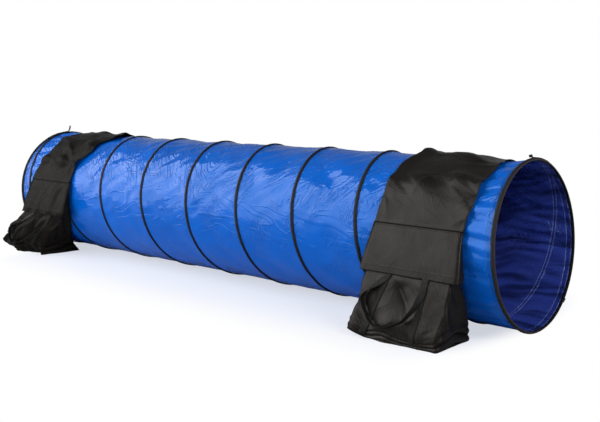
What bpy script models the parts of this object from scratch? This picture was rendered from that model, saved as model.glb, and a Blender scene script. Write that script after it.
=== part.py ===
"""Collapsible dog agility tunnel with two saddlebags that hold it still.

A cloth tube is kept open by one spiral of spring wire, whose first and last turns
are the hoops of the two mouths. Two saddlebags lie over the tube, each with a
pocket, a flap and a carrying handle on either side.

Units are metres, +Z is up. +X runs along the tube to the near mouth, -Y is the
front. The origin lies on the floor below the middle of the tunnel.
"""
import math
from collections import namedtuple

import bmesh
import bpy
from mathutils import Vector

# Clearances
SEAT = 0.0003            # between two pieces that touch
SLIP = 0.0005            # between the tube and a saddlebag that slides off it

# Tube and its spiral
TUBE_LENGTH = 2.893      # between the planes of the two hoops
SPIRAL_TURNS = 9
STATIONS = 24            # corners in one turn, shared by all that nests on the tube
SKIN_RADIUS = 0.3000     # outer face of the cloth where it is sewn to the wire
SKIN_WALL = 0.0008
SKIN_SAG = 0.006         # how far the cloth draws in between two turns
SAG_SHARE = 0.30         # of the way to the next turn, where it is drawn in that far
WIRE_DIAMETER = 0.0035
WIRE_END_GAP = 0.0015    # between a cap and the stretch of wire it ends beside
HOOP_LEAN = 0.064        # slope of the near hoop, top drawn in
HOOP_TURN = 0.036        # slope of the near hoop, back drawn in
HOOP_RISE = 0.0036       # from the cloth to the middle of a hoop's wire
EASE_ANGLE = math.radians(20.0)     # over which the wire comes down from a hoop

# Sewn tape over the spiral
TAPE_WIDTH = 0.014
TAPE_TOP_WIDTH = 0.004
TAPE_WALL = 0.0008
TAPE_EDGE = 0.0006

# Binding of the two mouths
BINDING_WIDTH = 0.017
BINDING_TOP_WIDTH = 0.007
BINDING_WALL = 0.0008
BINDING_LIP = 0.011      # width of the lip inside the mouth
SKIN_OVERHANG = 0.0065   # cloth past the middle of the hoop
LAP_ANGLE = math.radians(24.0)      # where the two ends of the binding are closed

# Ends of the wire and of the tapes
CAP_LENGTH = 0.016
CAP_WALL = 0.0007
CAP_SIDES = 12
TAIL_WIDTH = 0.014
TAIL_THICKNESS = 0.0010
TAIL_FOOT = 0.014
NEAR_TAIL_HEIGHT = 0.012
FAR_TAIL_HEIGHT = 0.036

# Saddlebags
NEAR_BAG_SETBACK = 0.295     # middle of the near saddlebag, back from the near hoop
FAR_BAG_SETBACK = 0.293      # middle of the far saddlebag, in from the far hoop
CLOTH = 0.0012
YOKE_SEAM_WIDTH = 0.384      # width of a saddlebag where its flaps are sewn on
CROWN_FLARE = 0.020          # how much wider the yoke is over the top of the tube
HEM_FLARE = 0.028            # how much wider the flap is at its hem
BASE_FLARE = 0.012           # how much wider the pocket is at its base
SEAM_STATIONS = 5            # stations from the top of the tube to the flap's seam
BACK_STATION = 8             # station where the pocket's back leaves the tube
SEAM_BAND = 0.0034           # thickness of the felled seam
SEAM_HEIGHT = 0.008
FLAP_DROP = 0.164            # from the seam to the hem, in height
FLAP_RETURN = 0.030          # part that folds round the pocket's side, at the hem
FLAP_TOP_RETURN = 0.002      # the same at the seam, short of the tube
HEM_BAND = 0.023
HEM_STEP = 0.0006
POCKET_RIM_DROP = 0.055      # front rim below the seam
POCKET_RIM_OUT = 0.026       # front rim outside the seam
POCKET_LEAN = 0.365          # how far the front runs out for each metre down
POCKET_SIDE_CLEARANCE = 0.004
BASE_BACK = 0.235            # back edge of the base, from the middle of the tube
SLUMP_HEIGHT = 0.048         # height of the folds that the empty pocket settles into
SLUMP_FOLDS = 2
SLUMP_DEPTH = 0.007
CORNER_RADIUS = 0.016
CORNER_POINTS = 3

# Webbing and fastener tape, on the front of a pocket
WEB_WIDTH = 0.025
WEB_THICKNESS = 0.0014
STRAP_TOP_SPREAD = 0.133     # between the middles of the two straps, at their tops
STRAP_TOP_SHIFT = 0.011      # of the pair, off the middle of the pocket
STRAP_FOOT_SPREAD = 0.212
STRAP_FOOT_SHIFT = -0.016
STRAP_FOOT_Z = 0.010
STRAP_TOP_DROP = 0.064       # top of the straps below the seam
HANDLE_HEM_GAP = 0.010       # handle's root below the hem
FASTENER_LENGTH = 0.106
FASTENER_WIDTH = 0.025
FASTENER_DROP = 0.100        # middle of the fastener strips below the seam
FASTENER_THICKNESS = 0.0014

# Where a handle hangs: across as a share of the way between its two roots, and
# down the front as a share of its drop
HANDLE_DROP = 0.175
HANDLE_ROUTE = (
    (0.00, 0.00), (-0.15, 0.15), (-0.32, 0.30), (-0.44, 0.46), (-0.43, 0.62),
    (-0.30, 0.78), (-0.08, 0.93), (0.18, 1.00), (0.45, 0.97), (0.70, 0.86),
    (0.89, 0.67), (0.98, 0.45), (1.01, 0.22), (1.00, 0.00),
)
HANDLE_TWIST_SHARE = 0.26    # part of the route over which the webbing turns on edge
HANDLE_STEPS = 30

# Derived sizes
PITCH = TUBE_LENGTH / SPIRAL_TURNS
STATION_ANGLE = 2.0 * math.pi / STATIONS
WIRE_RADIUS = WIRE_DIAMETER / 2.0
WIRE_RISE = SEAT + WIRE_RADIUS
TAPE_RISE = WIRE_RISE + WIRE_RADIUS + SEAT + TAPE_WALL
CAP_RADIUS = WIRE_RADIUS + SEAT + CAP_WALL
BINDING_RISE = HOOP_RISE + CAP_RADIUS + SEAT + BINDING_WALL
AXIS_HEIGHT = SKIN_RADIUS + BINDING_RISE
HOOP_REACH = math.hypot(HOOP_LEAN, HOOP_TURN) * SKIN_RADIUS
NEAR_X = (TUBE_LENGTH - HOOP_REACH) / 2.0
FAR_X = NEAR_X - TUBE_LENGTH
WIRE_LAP = 2.0 * math.pi * (WIRE_RADIUS + CAP_RADIUS + WIRE_END_GAP) / PITCH
END_ANGLE = 2.0 * math.pi * SPIRAL_TURNS

BAG_RADIUS = SKIN_RADIUS + TAPE_RISE + SLIP
YOKE_CROWN_WIDTH = YOKE_SEAM_WIDTH + CROWN_FLARE
FLAP_HEM_WIDTH = YOKE_SEAM_WIDTH + HEM_FLARE
BASE_WIDTH = YOKE_SEAM_WIDTH + BASE_FLARE
SEAM_ANGLE = SEAM_STATIONS * STATION_ANGLE
SEAM_Y = (BAG_RADIUS + SEAM_BAND) * math.sin(SEAM_ANGLE)
SEAM_Z = AXIS_HEIGHT + BAG_RADIUS * math.cos(SEAM_ANGLE)
RIM_Z = SEAM_Z - POCKET_RIM_DROP
RIM_Y = BAG_RADIUS * math.sin(SEAM_ANGLE) + POCKET_RIM_OUT
SLOPE_LENGTH = math.hypot(1.0, POCKET_LEAN)
FLAP_LIFT = 2.0 * (SEAT + WEB_THICKNESS) + SEAT
HANDLE_ROOT_Z = SEAM_Z - FLAP_DROP - HANDLE_HEM_GAP

BAGS = {
    "near": NEAR_X - NEAR_BAG_SETBACK,
    "far": FAR_X + FAR_BAG_SETBACK,
}
SIDES = {"front": -1.0, "rear": 1.0}

Panel = namedtuple("Panel", "name middle_x side")     # one side of one saddlebag

FINISHES = {
    "tunnel_cloth": ((0.012, 0.085, 0.610), 0.38, 0.0),
    "bag_cloth": ((0.022, 0.021, 0.020), 0.48, 0.0),
    "tape": ((0.010, 0.010, 0.012), 0.70, 0.0),
    "webbing": ((0.012, 0.012, 0.013), 0.75, 0.0),
    "spring_steel": ((0.420, 0.420, 0.430), 0.35, 1.0),
    "cap_plastic": ((0.020, 0.020, 0.022), 0.50, 0.0),
    "fastener_tape": ((0.014, 0.014, 0.015), 0.90, 0.0),
}


def clear_scene():
    """Remove whatever the scene holds."""
    for item in list(bpy.data.objects):
        bpy.data.objects.remove(item, do_unlink=True)


def finish_material(node, finish):
    """A Principled material of one node's own, in one of the finishes."""
    colour, roughness, metallic = FINISHES[finish]
    material = bpy.data.materials.new(node + "_" + finish)
    material.use_nodes = True
    shader = material.node_tree.nodes["Principled BSDF"]
    shader.inputs["Base Color"].default_value = (*colour, 1.0)
    shader.inputs["Roughness"].default_value = roughness
    shader.inputs["Metallic"].default_value = metallic
    return material


def place(item, node, finish, origin, parent):
    """Link an object, move its origin to a world point and hang it on its parent."""
    bpy.context.scene.collection.objects.link(item)
    item.data.materials.append(finish_material(node, finish))
    item.parent = parent
    item.location = origin - (parent_point(parent))


def parent_point(parent):
    """World place of a parent empty, which is never turned or scaled."""
    point = Vector((0.0, 0.0, 0.0))
    while parent is not None:
        point += parent.location
        parent = parent.parent
    return point


def add_empty(name, point, parent=None):
    """An empty on a joint's axis that carries one moving body."""
    empty = bpy.data.objects.new(name, None)
    bpy.context.scene.collection.objects.link(empty)
    empty.parent = parent
    empty.location = point - parent_point(parent)
    return empty


def add_mesh(node, bm, finish, origin, parent, sharp_degrees=40.0):
    """Make a mesh object of a bmesh whose points are in world coordinates."""
    bmesh.ops.translate(bm, verts=bm.verts, vec=-origin)
    mesh = bpy.data.meshes.new(node)
    bm.to_mesh(mesh)
    bm.free()
    mesh.shade_smooth()
    mesh.set_sharp_from_angle(angle=math.radians(sharp_degrees))
    item = bpy.data.objects.new(node, mesh)
    place(item, node, finish, origin, parent)
    return item


def thicken(item, thickness, offset=-1.0):
    """Give a cloth sheet its wall with a Solidify modifier."""
    solidify = item.modifiers.new("wall", "SOLIDIFY")
    solidify.thickness = thickness
    solidify.offset = offset
    solidify.use_even_offset = True
    solidify.use_rim = True
    return item


def loft(rings, closed_path=False):
    """Bridge rings of points into a tube, capped at both ends unless it is closed."""
    bm = bmesh.new()
    rows = [[bm.verts.new(point) for point in ring] for ring in rings]
    count = len(rows[0])
    spans = len(rows) if closed_path else len(rows) - 1
    for index in range(spans):
        first, second = rows[index], rows[(index + 1) % len(rows)]
        for corner in range(count):
            after = (corner + 1) % count
            bm.faces.new((first[corner], first[after], second[after], second[corner]))
    if not closed_path:
        bm.faces.new(list(reversed(rows[0])))
        bm.faces.new(rows[-1])
    bmesh.ops.recalc_face_normals(bm, faces=bm.faces)
    return bm


def sheet(rows):
    """A cloth sheet through rows of points, each as long as the next."""
    bm = bmesh.new()
    lines = [[bm.verts.new(point) for point in row] for row in rows]
    for first, second in zip(lines, lines[1:]):
        for index in range(len(first) - 1):
            bm.faces.new((first[index], first[index + 1], second[index + 1], second[index]))
    return bm


# The tube

def ring_point(x, radius, angle):
    """Point on the many-sided tube; angle 0 is its top, a quarter turn its back."""
    within = angle % STATION_ANGLE - STATION_ANGLE / 2.0
    flat = radius * math.cos(STATION_ANGLE / 2.0) / math.cos(within)
    return Vector((x, flat * math.sin(angle), AXIS_HEIGHT + flat * math.cos(angle)))


def near_hoop_x(angle):
    """Where the leaning near hoop stands along the tube."""
    lean = HOOP_LEAN * math.cos(angle) + HOOP_TURN * math.sin(angle)
    return NEAR_X - SKIN_RADIUS * lean


def spiral_x(angle):
    """Where the wire stands; the angle grows from the near hoop to the far one."""
    if angle <= 0.0:
        return near_hoop_x(angle)
    if angle >= END_ANGLE:
        return FAR_X
    hoop_share = max(0.0, 1.0 - angle / (2.0 * math.pi))
    plain = NEAR_X - PITCH * angle / (2.0 * math.pi)
    return plain + (near_hoop_x(angle) - NEAR_X) * hoop_share


def spiral_rise(angle):
    """Height of the wire's middle over the cloth, more in the two hoops."""
    past_near = angle / EASE_ANGLE
    before_far = (END_ANGLE - angle) / EASE_ANGLE
    share = min(1.0, max(0.0, min(past_near, before_far)))
    return HOOP_RISE + (WIRE_RISE - HOOP_RISE) * share


def wire_points():
    """The wire's middle line: near hoop, spiral and far hoop, without a break."""
    start = -2.0 * math.pi + WIRE_LAP
    end = END_ANGLE + 2.0 * math.pi - WIRE_LAP
    first = math.ceil(start / STATION_ANGLE)
    last = math.floor(end / STATION_ANGLE)
    angles = [start] + [index * STATION_ANGLE for index in range(first, last + 1)] + [end]
    return [ring_point(spiral_x(a), SKIN_RADIUS + spiral_rise(a), a) for a in angles]


def least_wire_gap(points):
    """Smallest clear gap between two stretches of the wire, measured on its points.

    Each chord is cut into parts. A point is compared with those that lie from a
    quarter of a turn to a turn and a half further along the wire.
    """
    parts = 8
    fine = []
    for start, end in zip(points, points[1:]):
        fine += [start.lerp(end, step / parts) for step in range(parts)]
    fine.append(points[-1])
    turn = STATIONS * parts
    least = min((fine[i] - fine[j]).length for i in range(len(fine))
                for j in range(i + turn // 4, min(i + turn * 3 // 2, len(fine))))
    return least - WIRE_DIAMETER


def build_wire(parent):
    """One tube of spring wire that makes both hoops and the spiral between them."""
    points = wire_points()
    curve = bpy.data.curves.new("spring_wire", "CURVE")
    curve.dimensions = "3D"
    curve.bevel_depth = WIRE_RADIUS
    curve.bevel_resolution = 1
    curve.use_fill_caps = True
    spline = curve.splines.new("POLY")
    spline.points.add(len(points) - 1)
    for target, point in zip(spline.points, points):
        target.co = (*point, 1.0)
    item = bpy.data.objects.new("spring_wire", curve)
    place(item, "spring_wire", "spring_steel", Vector((0.0, 0.0, 0.0)), parent)
    print("least gap between turns of the wire: %.2f mm" % (1000.0 * least_wire_gap(points)))


def skin_column(angle, radius):
    """Points of the cloth along the tube at one angle, drawn in between the turns."""
    crossings = [near_hoop_x(angle)]
    crossings += [spiral_x(angle + 2.0 * math.pi * turn) for turn in range(SPIRAL_TURNS)]
    crossings.append(FAR_X)
    column = [ring_point(crossings[0] + SKIN_OVERHANG, radius, angle)]
    for start, end in zip(crossings, crossings[1:]):
        sag = SKIN_SAG * ((start - end) / PITCH) ** 2
        column.append(ring_point(start, radius, angle))
        for share in (SAG_SHARE, 1.0 - SAG_SHARE):
            column.append(ring_point(start + (end - start) * share, radius - sag, angle))
    column.append(ring_point(FAR_X, radius, angle))
    column.append(ring_point(FAR_X - SKIN_OVERHANG, radius, angle))
    return column


def build_skin(parent):
    """The cloth tube: outer and inner face with a hem across each mouth."""
    bm = bmesh.new()
    walls = []
    for radius in (SKIN_RADIUS, SKIN_RADIUS - SKIN_WALL):
        angles = [index * STATION_ANGLE for index in range(STATIONS)] + [2.0 * math.pi]
        columns = [[bm.verts.new(p) for p in skin_column(a, radius)] for a in angles]
        for first, second in zip(columns, columns[1:]):
            for row in range(len(first) - 1):
                bm.faces.new((first[row], first[row + 1], second[row + 1], second[row]))
        walls.append(columns)
    outer, inner = walls
    for index in range(STATIONS):
        for row in (0, -1):
            bm.faces.new((outer[index][row], outer[index + 1][row],
                          inner[index + 1][row], inner[index][row]))
    bmesh.ops.remove_doubles(bm, verts=bm.verts, dist=1e-6)
    bmesh.ops.recalc_face_normals(bm, faces=bm.faces)
    add_mesh("tunnel_skin", bm, "tunnel_cloth", Vector((0.0, 0.0, 0.0)), parent)


def tent_section(x, angle, left, right, top, rise, wall, edge):
    """Section of a tape that is tented over a wire, as points round its outline.

    left and right are its edges and top the half width of its roof, along the tube;
    the roof may be off the middle when left and right differ.
    """
    slope_in = wall * 1.5
    outline = (
        (left, SEAT), (left, SEAT + edge), (top[0], rise), (top[1], rise),
        (right, SEAT + edge), (right, SEAT), (right - slope_in, SEAT),
        (top[1] - wall / 2.0, rise - wall), (top[0] + wall / 2.0, rise - wall),
        (left + slope_in, SEAT),
    )
    return [ring_point(x + along, SKIN_RADIUS + up, angle) for along, up in outline]


def station_angles(start, end):
    """The two given angles and every station between them."""
    first = math.floor(start / STATION_ANGLE) + 1
    last = math.ceil(end / STATION_ANGLE) - 1
    return [start] + [index * STATION_ANGLE for index in range(first, last + 1)] + [end]


def build_tape(parent):
    """The tape sewn over the spiral from one mouth's binding to the other's."""
    margin = BINDING_WIDTH / 2.0 + TAPE_WIDTH / 2.0 + SEAT
    first = LAP_ANGLE + 2.0 * math.pi * SEAT / PITCH
    free = 2.0 * math.pi * margin / (PITCH - HOOP_LEAN * SKIN_RADIUS)
    start = max(first, free)
    half, roof = TAPE_WIDTH / 2.0, TAPE_TOP_WIDTH / 2.0
    rings = [tent_section(spiral_x(a), a, -half, half, (-roof, roof), TAPE_RISE, TAPE_WALL, TAPE_EDGE)
             for a in station_angles(start, END_ANGLE - start)]
    add_mesh("spiral_tape", loft(rings), "tape", Vector((0.0, 0.0, 0.0)), parent)


def binding_section(hoop_x, angle, outward, reach):
    """Section of a mouth's binding, round the hoop and the cloth's edge.

    outward is +1 at the near mouth and -1 at the far one; reach is how far the
    inner flange lies from the hoop, more where the spiral leaves it.
    """
    half, roof = BINDING_WIDTH / 2.0, BINDING_TOP_WIDTH / 2.0
    wall, rise = BINDING_WALL, BINDING_RISE
    edge = SKIN_OVERHANG + SEAT
    under = -(SKIN_WALL + SEAT)
    lip = edge - BINDING_LIP
    spread = reach - half
    outline = (
        (-reach, SEAT), (-reach, SEAT + wall), (-roof - spread, rise), (roof, rise),
        (edge + wall, wall), (edge + wall, under - wall), (lip, under - wall), (lip, under),
        (edge, under), (edge, wall), (roof - wall / 2.0, rise - wall),
        (-roof - spread + wall / 2.0, rise - wall), (-reach + 1.5 * wall, SEAT),
    )
    return [ring_point(hoop_x + outward * along, SKIN_RADIUS + up, angle) for along, up in outline]


def build_mouth(name, hoop_x, outward, parent):
    """Binding of one mouth, the lap that closes it, the wire's cap and the tape's tail."""
    # The spiral leaves the near hoop past the top, and comes to the far one before it.
    half = BINDING_WIDTH / 2.0
    lap = (0.0, LAP_ANGLE) if outward > 0.0 else (-LAP_ANGLE, 0.0)
    seat_angle = SEAT / SKIN_RADIUS
    ring_angles = station_angles(lap[1] + seat_angle, lap[0] + 2.0 * math.pi - seat_angle)
    rings = [binding_section(hoop_x(a), a, outward, half) for a in ring_angles]
    origin = Vector((hoop_x(math.pi / 2.0), 0.0, AXIS_HEIGHT))
    add_mesh(name + "_mouth_binding", loft(rings), "tape", origin, parent)

    def lap_reach(angle):
        """Inner flange of the lap, wide enough for the wire that leaves the hoop."""
        along = spiral_x(angle) if outward > 0.0 else spiral_x(END_ANGLE + angle)
        return half + abs(hoop_x(angle) - along)

    lap_rings = [binding_section(hoop_x(a), a, outward, lap_reach(a))
                 for a in station_angles(*lap)]
    add_mesh(name + "_binding_lap", loft(lap_rings), "tape", origin, parent)
    build_wire_cap(name, outward, parent)
    build_tail(name, hoop_x, outward, parent)


def build_wire_cap(name, outward, parent):
    """Plastic cap on the free end of a hoop, so that the wire can't cut the cloth."""
    points = wire_points()
    if outward < 0.0:
        points = list(reversed(points))
    tip, back = points[0], points[1]
    along = (back - tip).normalized()
    across = Vector((1.0, 0.0, 0.0))
    up = along.cross(across).normalized()
    across = up.cross(along).normalized()
    profile = (
        (-SEAT - CAP_WALL, 0.0), (-SEAT - CAP_WALL, CAP_RADIUS - CAP_WALL),
        (-SEAT, CAP_RADIUS), (CAP_LENGTH, CAP_RADIUS),
        (CAP_LENGTH, CAP_RADIUS - CAP_WALL), (-SEAT, CAP_RADIUS - CAP_WALL), (-SEAT, 0.0),
    )
    bm = bmesh.new()
    verts = [bm.verts.new(tip + along * s + up * r) for s, r in profile]
    edges = [bm.edges.new(pair) for pair in zip(verts, verts[1:])]
    bmesh.ops.spin(bm, geom=verts + edges, cent=tip, axis=along, dvec=(0, 0, 0),
                   angle=2.0 * math.pi, steps=CAP_SIDES, use_merge=True)
    bmesh.ops.remove_doubles(bm, verts=bm.verts, dist=1e-6)
    bmesh.ops.recalc_face_normals(bm, faces=bm.faces)
    add_mesh(name + "_wire_cap", bm, "cap_plastic", tip, parent)


def build_tail(name, hoop_x, outward, parent):
    """Loose end of the binding, sewn down on the lap and standing up past it."""
    height = NEAR_TAIL_HEIGHT if outward > 0.0 else FAR_TAIL_HEIGHT
    side = 1.0 if outward > 0.0 else -1.0
    radius = SKIN_RADIUS + BINDING_RISE + SEAT
    foot_angle = side * TAIL_FOOT / radius
    foot = ring_point(0.0, radius, foot_angle)
    crown = ring_point(0.0, radius, 0.0)
    middle = (hoop_x(0.0) - outward * (TAIL_WIDTH - BINDING_TOP_WIDTH) / 2.0)
    curl = height * 0.45
    route = [Vector((0.0, foot.y, foot.z)), Vector((0.0, crown.y, crown.z))]
    for step in range(1, 7):
        bend = step / 6.0 * math.radians(80.0)
        route.append(Vector((0.0, crown.y - side * curl * math.sin(bend),
                             crown.z + height * (1.0 - math.cos(bend)))))
    rings = []
    for index, point in enumerate(route):
        before = route[max(index - 1, 0)]
        after = route[min(index + 1, len(route) - 1)]
        along = (after - before).normalized()
        normal = Vector((0.0, -along.z, along.y)) * side * -1.0
        if normal.z < 0.0 and index < 2:
            normal = -normal
        ring = []
        for across, up in ((-0.5, 0.0), (0.5, 0.0), (0.5, 1.0), (-0.5, 1.0)):
            shift = normal * (up * TAIL_THICKNESS)
            ring.append(point + shift + Vector((middle + across * TAIL_WIDTH, 0.0, 0.0)))
        rings.append(ring)
    add_mesh(name + "_tape_tail", loft(rings), "tape", Vector((middle, crown.y, crown.z)), parent)


# The saddlebags

def front_y(z):
    """Distance of a pocket's front from the middle of the tube, at one height."""
    return RIM_Y + POCKET_LEAN * (RIM_Z - z)


def on_front(panel, x, z, lift):
    """Point over a pocket's front, lifted square off it."""
    out = front_y(z) + lift / SLOPE_LENGTH
    return Vector((panel.middle_x + x, panel.side * out, z + lift * POCKET_LEAN / SLOPE_LENGTH))


def build_yoke(name, middle_x, parent):
    """Panel that lies over the tube, with a felled seam along each of its ends."""
    angles = [index * STATION_ANGLE for index in range(-SEAM_STATIONS, SEAM_STATIONS + 1)]
    end = SEAM_ANGLE
    step_angle = end - SEAM_HEIGHT / BAG_RADIUS
    inner = [(BAG_RADIUS, a) for a in angles]
    outer = [(BAG_RADIUS + SEAM_BAND, end), (BAG_RADIUS + SEAM_BAND, step_angle),
             (BAG_RADIUS + CLOTH, step_angle)]
    outer += [(BAG_RADIUS + CLOTH, a) for a in reversed(angles[1:-1])]
    outer += [(BAG_RADIUS + CLOTH, -step_angle), (BAG_RADIUS + SEAM_BAND, -step_angle),
              (BAG_RADIUS + SEAM_BAND, -end)]
    rings = []
    for edge in (-0.5, 0.5):
        ring = []
        for radius, angle in inner + outer:
            share = 1.0 - abs(angle) / SEAM_ANGLE
            width = YOKE_SEAM_WIDTH + (YOKE_CROWN_WIDTH - YOKE_SEAM_WIDTH) * share
            ring.append(ring_point(middle_x + edge * width, radius, angle))
        rings.append(ring)
    add_mesh(name + "_yoke", loft(rings), "bag_cloth", parent_point(parent), parent)


def tunnel_side(z):
    """How far out a saddlebag's back has to stay at one height, above the belly."""
    corners = []
    for station in range(SEAM_STATIONS, STATIONS // 2 + 1):
        point = ring_point(0.0, BAG_RADIUS, station * STATION_ANGLE)
        corners.append((point.z, point.y))
    for (top, y_top), (low, y_low) in zip(corners, corners[1:]):
        if low <= z <= top:
            return y_top + (y_low - y_top) * (top - z) / (top - low)
    return corners[0][1]


def pocket_back(z):
    """The pocket's back: against the tube, then straight down to the base."""
    leave = ring_point(0.0, BAG_RADIUS, BACK_STATION * STATION_ANGLE)
    if z >= leave.z:
        return tunnel_side(z)
    return leave.y + (BASE_BACK - leave.y) * (leave.z - z) / leave.z


def pocket_width(z):
    """Width of the pocket at one height, within the flap and out to the base."""
    top = YOKE_SEAM_WIDTH - 2.0 * (CLOTH + POCKET_SIDE_CLEARANCE)
    share = 1.0 - z / SEAM_Z
    return top + (BASE_WIDTH - top) * share


def pocket_ring(z, inset):
    """One level of the pocket in plan, as (x, out) points round its four corners."""
    half = pocket_width(z) / 2.0 - inset
    back = pocket_back(z) + max(0.0, inset - CLOTH)
    front = front_y(z) - inset
    radius = min(CORNER_RADIUS, (front - back) / 3.0)
    ring = []
    corners = ((1.0, 1.0), (-1.0, 1.0), (-1.0, -1.0), (1.0, -1.0))
    for index, (side_x, side_y) in enumerate(corners):
        centre_x = side_x * (half - radius)
        centre_y = (front - radius) if side_y > 0.0 else (back + radius)
        for point in range(CORNER_POINTS):
            turn = math.radians(90.0) * (index + point / (CORNER_POINTS - 1.0))
            x = centre_x + radius * math.cos(turn)
            out = centre_y + radius * math.sin(turn)
            ring.append((x, out))
        if index == 0:
            ring += [(half * share, front) for share in (0.5, 0.0, -0.5)]
        if index == 2:
            ring += [(half * share, back) for share in (-0.5, 0.0, 0.5)]
    return ring


def pocket_levels():
    """Heights of the pocket's rings and how far each is folded in, base first.

    The base settles in folds. Above them the rings lie at the tube's own corners.
    """
    levels = [(0.0, 0.0)]
    fold_height = SLUMP_HEIGHT / SLUMP_FOLDS
    for fold in range(SLUMP_FOLDS):
        levels.append(((fold + 0.35) * fold_height, 0.0))
        levels.append(((fold + 0.65) * fold_height, SLUMP_DEPTH))
    levels.append((SLUMP_HEIGHT, 0.0))
    for station in range(BACK_STATION + 1, SEAM_STATIONS, -1):
        levels.append((ring_point(0.0, BAG_RADIUS, station * STATION_ANGLE).z, 0.0))
    return levels


def build_pocket(panel, parent):
    """Open-topped pocket: flat base, slumped folds, leaning front, back on the tube."""
    bm = bmesh.new()
    rows = []
    for z, inset in pocket_levels():
        rows.append([bm.verts.new((panel.middle_x + x, -out, z)) for x, out in pocket_ring(z, inset)])
    mouth = []
    back_top = SEAM_Z - SEAT
    back_out = tunnel_side(back_top)
    for x, out in pocket_ring(RIM_Z, 0.0):
        share = (out - pocket_back(RIM_Z)) / (front_y(RIM_Z) - pocket_back(RIM_Z))
        z = RIM_Z + (back_top - RIM_Z) * (1.0 - share)
        y = out if share > 0.5 else out + (back_out - pocket_back(RIM_Z)) * (1.0 - share)
        mouth.append(bm.verts.new((panel.middle_x + x, -y, z)))
    rows.append(mouth)
    count = len(rows[0])
    for first, second in zip(rows, rows[1:]):
        for corner in range(count):
            after = (corner + 1) % count
            bm.faces.new((first[corner], first[after], second[after], second[corner]))
    bm.faces.new(rows[0])
    bmesh.ops.recalc_face_normals(bm, faces=bm.faces)
    bottom = min(bm.faces, key=lambda face: face.calc_center_median().z)
    if bottom.normal.z > 0.0:
        bmesh.ops.reverse_faces(bm, faces=bm.faces)
    if panel.side > 0.0:
        bmesh.ops.scale(bm, vec=(1.0, -1.0, 1.0), verts=bm.verts)
        bmesh.ops.reverse_faces(bm, faces=bm.faces)
    item = add_mesh(panel.name + "_pocket", bm, "bag_cloth", parent_point(parent), parent)
    thicken(item, CLOTH)


def build_flap(panel, parent):
    """Flap from the seam over the pocket's mouth, folded round both its sides."""
    top_z = SEAM_Z - SEAT
    top_out = SEAM_Y - SEAT
    hem_z = SEAM_Z - FLAP_DROP
    outer_lift = FLAP_LIFT + CLOTH
    levels = (
        (top_z, YOKE_SEAM_WIDTH, 0.0, FLAP_TOP_RETURN),
        (RIM_Z, (YOKE_SEAM_WIDTH + FLAP_HEM_WIDTH) / 2.0, outer_lift, FLAP_RETURN * 0.4),
        (hem_z + HEM_BAND, FLAP_HEM_WIDTH, outer_lift, FLAP_RETURN * 0.9),
        (hem_z + HEM_BAND - HEM_STEP, FLAP_HEM_WIDTH + HEM_STEP, outer_lift + HEM_STEP,
         FLAP_RETURN * 0.9),
        (hem_z, FLAP_HEM_WIDTH + HEM_STEP, outer_lift + HEM_STEP, FLAP_RETURN),
    )
    rows = []
    for index, (z, width, lift, fold) in enumerate(levels):
        out = top_out if index == 0 else front_y(z) + lift * SLOPE_LENGTH
        behind = out - fold
        outline = [(-1.0, behind)] + [(share, out) for share in (-1.0, -0.5, 0.0, 0.5, 1.0)]
        outline.append((1.0, behind))
        rows.append([Vector((panel.middle_x + share * width / 2.0, panel.side * y, z))
                     for share, y in outline])
    bm = sheet(rows)
    bmesh.ops.recalc_face_normals(bm, faces=bm.faces)
    bm.faces.ensure_lookup_table()
    middle = max(bm.faces, key=lambda face: abs(face.calc_center_median().y))
    if middle.normal.y * panel.side < 0.0:
        bmesh.ops.reverse_faces(bm, faces=bm.faces)
    item = add_mesh(panel.name + "_flap", bm, "bag_cloth", parent_point(parent), parent)
    thicken(item, CLOTH)


def build_fastener(panel, word, inner, parent):
    """Strip of hook or loop tape on a pocket's front, its inner face at one lift."""
    middle = SEAM_Z - FASTENER_DROP
    half_z = FASTENER_WIDTH / SLOPE_LENGTH / 2.0
    corners = ((middle - half_z, inner), (middle + half_z, inner),
               (middle + half_z, inner + FASTENER_THICKNESS),
               (middle - half_z, inner + FASTENER_THICKNESS))
    rings = [[on_front(panel, STRAP_TOP_SHIFT + edge * FASTENER_LENGTH, z, lift)
              for z, lift in corners] for edge in (-0.5, 0.5)]
    node = panel.name + "_" + word + "_strip"
    add_mesh(node, loft(rings), "fastener_tape", parent_point(parent), parent)


def strap_x(index, z):
    """Middle of a strap across the pocket, at one height; index 0 is the left one."""
    top_z = SEAM_Z - STRAP_TOP_DROP
    share = (top_z - z) / (top_z - STRAP_FOOT_Z)
    top_x = STRAP_TOP_SHIFT + (index - 0.5) * STRAP_TOP_SPREAD
    foot_x = STRAP_FOOT_SHIFT + (index - 0.5) * STRAP_FOOT_SPREAD
    return top_x + (foot_x - top_x) * share


def build_straps(panel, parent):
    """Two webbing straps down the front, each doubled above the handle's root."""
    top_z = SEAM_Z - STRAP_TOP_DROP
    single = (SEAT, SEAT + WEB_THICKNESS)
    double = 2.0 * (SEAT + WEB_THICKNESS)
    profile = ((STRAP_FOOT_Z, single[0]), (top_z, single[0]), (top_z, double),
               (HANDLE_ROOT_Z + SEAT, double), (HANDLE_ROOT_Z + SEAT, single[1]),
               (STRAP_FOOT_Z, single[1]))
    for index, word in enumerate(("left", "right")):
        rings = []
        for edge in (-0.5, 0.5):
            rings.append([on_front(panel, strap_x(index, z) + edge * WEB_WIDTH, z, lift)
                          for z, lift in profile])
        add_mesh(panel.name + "_strap_" + word, loft(rings), "webbing", parent_point(parent), parent)


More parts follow.
